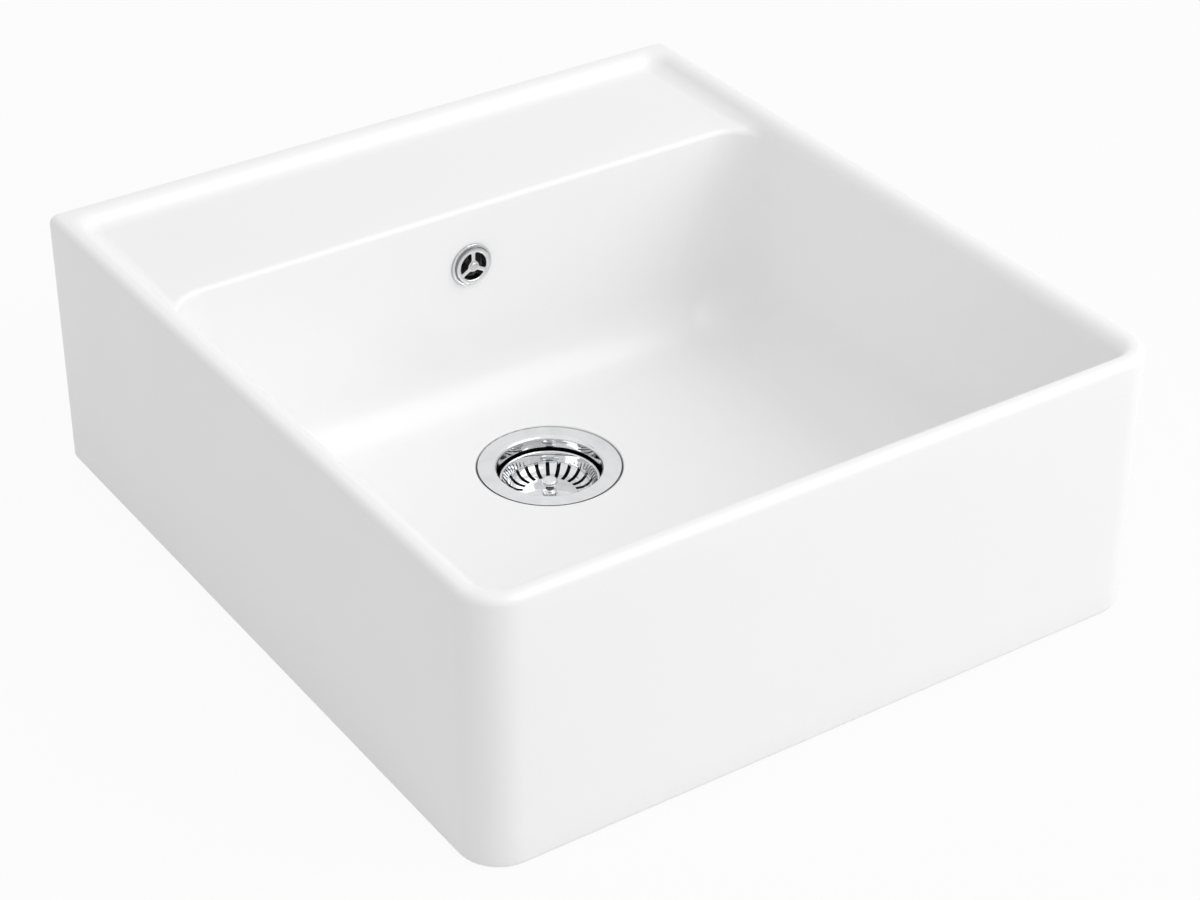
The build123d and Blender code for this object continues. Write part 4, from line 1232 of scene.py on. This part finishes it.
def add_floor(scene):
    """Add the floor, open under the sink where its waste hangs through."""
    bm = bmesh.new()
    inset = Vector((OPENING_INSET, OPENING_INSET, 0))
    outer = ground_loop(bm, (-GROUND_HALF, -GROUND_HALF), (GROUND_HALF, GROUND_HALF))
    inner = ground_loop(bm, BODY_LOW / MM + inset, BODY_HIGH / MM - inset)
    fill(bm, outer + inner)
    bmesh.ops.recalc_face_normals(bm, faces=bm.faces)
    mesh = bpy.data.meshes.new("floor")
    bm.to_mesh(mesh)
    bm.free()
    floor = bpy.data.objects.new("floor", mesh)
    scene.collection.objects.link(floor)
    mesh.materials.append(pale_floor())


def add_surround(scene, strength):
    """Add even light, and white where the camera or a reflection looks past the floor."""
    scene.world = bpy.data.worlds.new("surround")
    nodes = Nodes(scene.world)
    even = nodes.add("ShaderNodeBackground", {}, {"Color": WHITE, "Strength": strength})
    white = nodes.add("ShaderNodeBackground", {}, {"Color": WHITE, "Strength": 1.0})
    seen = nodes.seen_by("Is Camera Ray", "Is Transmission Ray", "Is Glossy Ray")
    mix = nodes.add("ShaderNodeMixShader", {}, {0: seen, 1: even, 2: white})
    nodes.end("ShaderNodeOutputWorld", mix)


def add_key_light(scene, power):
    """Add the main light, large and soft, to the front and right of the sink."""
    lamp = bpy.data.lights.new("key_light", "AREA")
    lamp.shape = "RECTANGLE"
    lamp.size, lamp.size_y = KEY_SIDE, KEY_SIDE
    lamp.energy = power
    light = bpy.data.objects.new("key_light", lamp)
    light.location = KEY_PLACE
    light.rotation_euler = (KEY_TARGET - KEY_PLACE).to_track_quat("-Z", "Y").to_euler()
    scene.collection.objects.link(light)


def add_camera(scene, s):
    """Add the camera at the photograph's viewing angle."""
    a, e, r = s.azimuth, s.elevation, s.roll
    back = Vector((math.sin(a) * math.cos(e), -math.cos(a) * math.cos(e), math.sin(e)))
    right = (-back).cross(Vector((0, 0, 1))).normalized()
    up = right.cross(-back)
    x_axis = right * math.cos(r) + up * math.sin(r)
    y_axis = up * math.cos(r) - right * math.sin(r)
    camera_data = bpy.data.cameras.new("camera")
    camera_data.lens = s.lens
    camera_data.sensor_width = 36.0
    camera_data.clip_end = 50.0
    camera = bpy.data.objects.new("camera", camera_data)
    turn = Matrix((x_axis, y_axis, back)).transposed().to_4x4()
    camera.matrix_world = Matrix.Translation(CAMERA_PLACE) @ turn
    scene.collection.objects.link(camera)
    scene.camera = camera


class SINK_OT_stage(bpy.types.Operator):
    """Add the floor, the lights and the camera"""

    bl_idname = "sink.stage"
    bl_label = "Stage"

    def execute(self, context):
        scene = context.scene
        s = scene.sink_stage
        add_floor(scene)
        add_surround(scene, s.surround)
        add_key_light(scene, s.key)
        add_camera(scene, s)
        scene.view_settings.view_transform = "Standard"
        return {"FINISHED"}


class SINK_PT_panel(bpy.types.Panel):
    """Pieces of the farmhouse sink"""

    bl_idname = "SINK_PT_panel"
    bl_label = "Farmhouse Sink"
    bl_space_type = "VIEW_3D"
    bl_region_type = "UI"
    bl_category = "Sink"

    def draw(self, context):
        for operator in OPERATORS:
            self.layout.operator(operator.bl_idname)


OPERATORS = (
    SINK_OT_glazed_body,
    SINK_OT_waste,
    SINK_OT_basket,
    SINK_OT_overflow,
    SINK_OT_stage,
)
SETTINGS = {
    "sink_body": SinkBodySettings,
    "sink_waste": SinkWasteSettings,
    "sink_stage": SinkStageSettings,
}


def register():
    for cls in (*SETTINGS.values(), *OPERATORS, SINK_PT_panel):
        bpy.utils.register_class(cls)
    for name, group in SETTINGS.items():
        setattr(bpy.types.Scene, name, PointerProperty(type=group))


def unregister():
    for name in SETTINGS:
        delattr(bpy.types.Scene, name)
    for cls in reversed((*SETTINGS.values(), *OPERATORS, SINK_PT_panel)):
        bpy.utils.unregister_class(cls)


def main():
    """Build every piece."""
    register()
    bpy.ops.sink.stage()
    bpy.ops.sink.glazed_body()
    bpy.ops.sink.waste()
    bpy.ops.sink.basket()
    bpy.ops.sink.overflow()


if __name__ == "__main__":
    main()
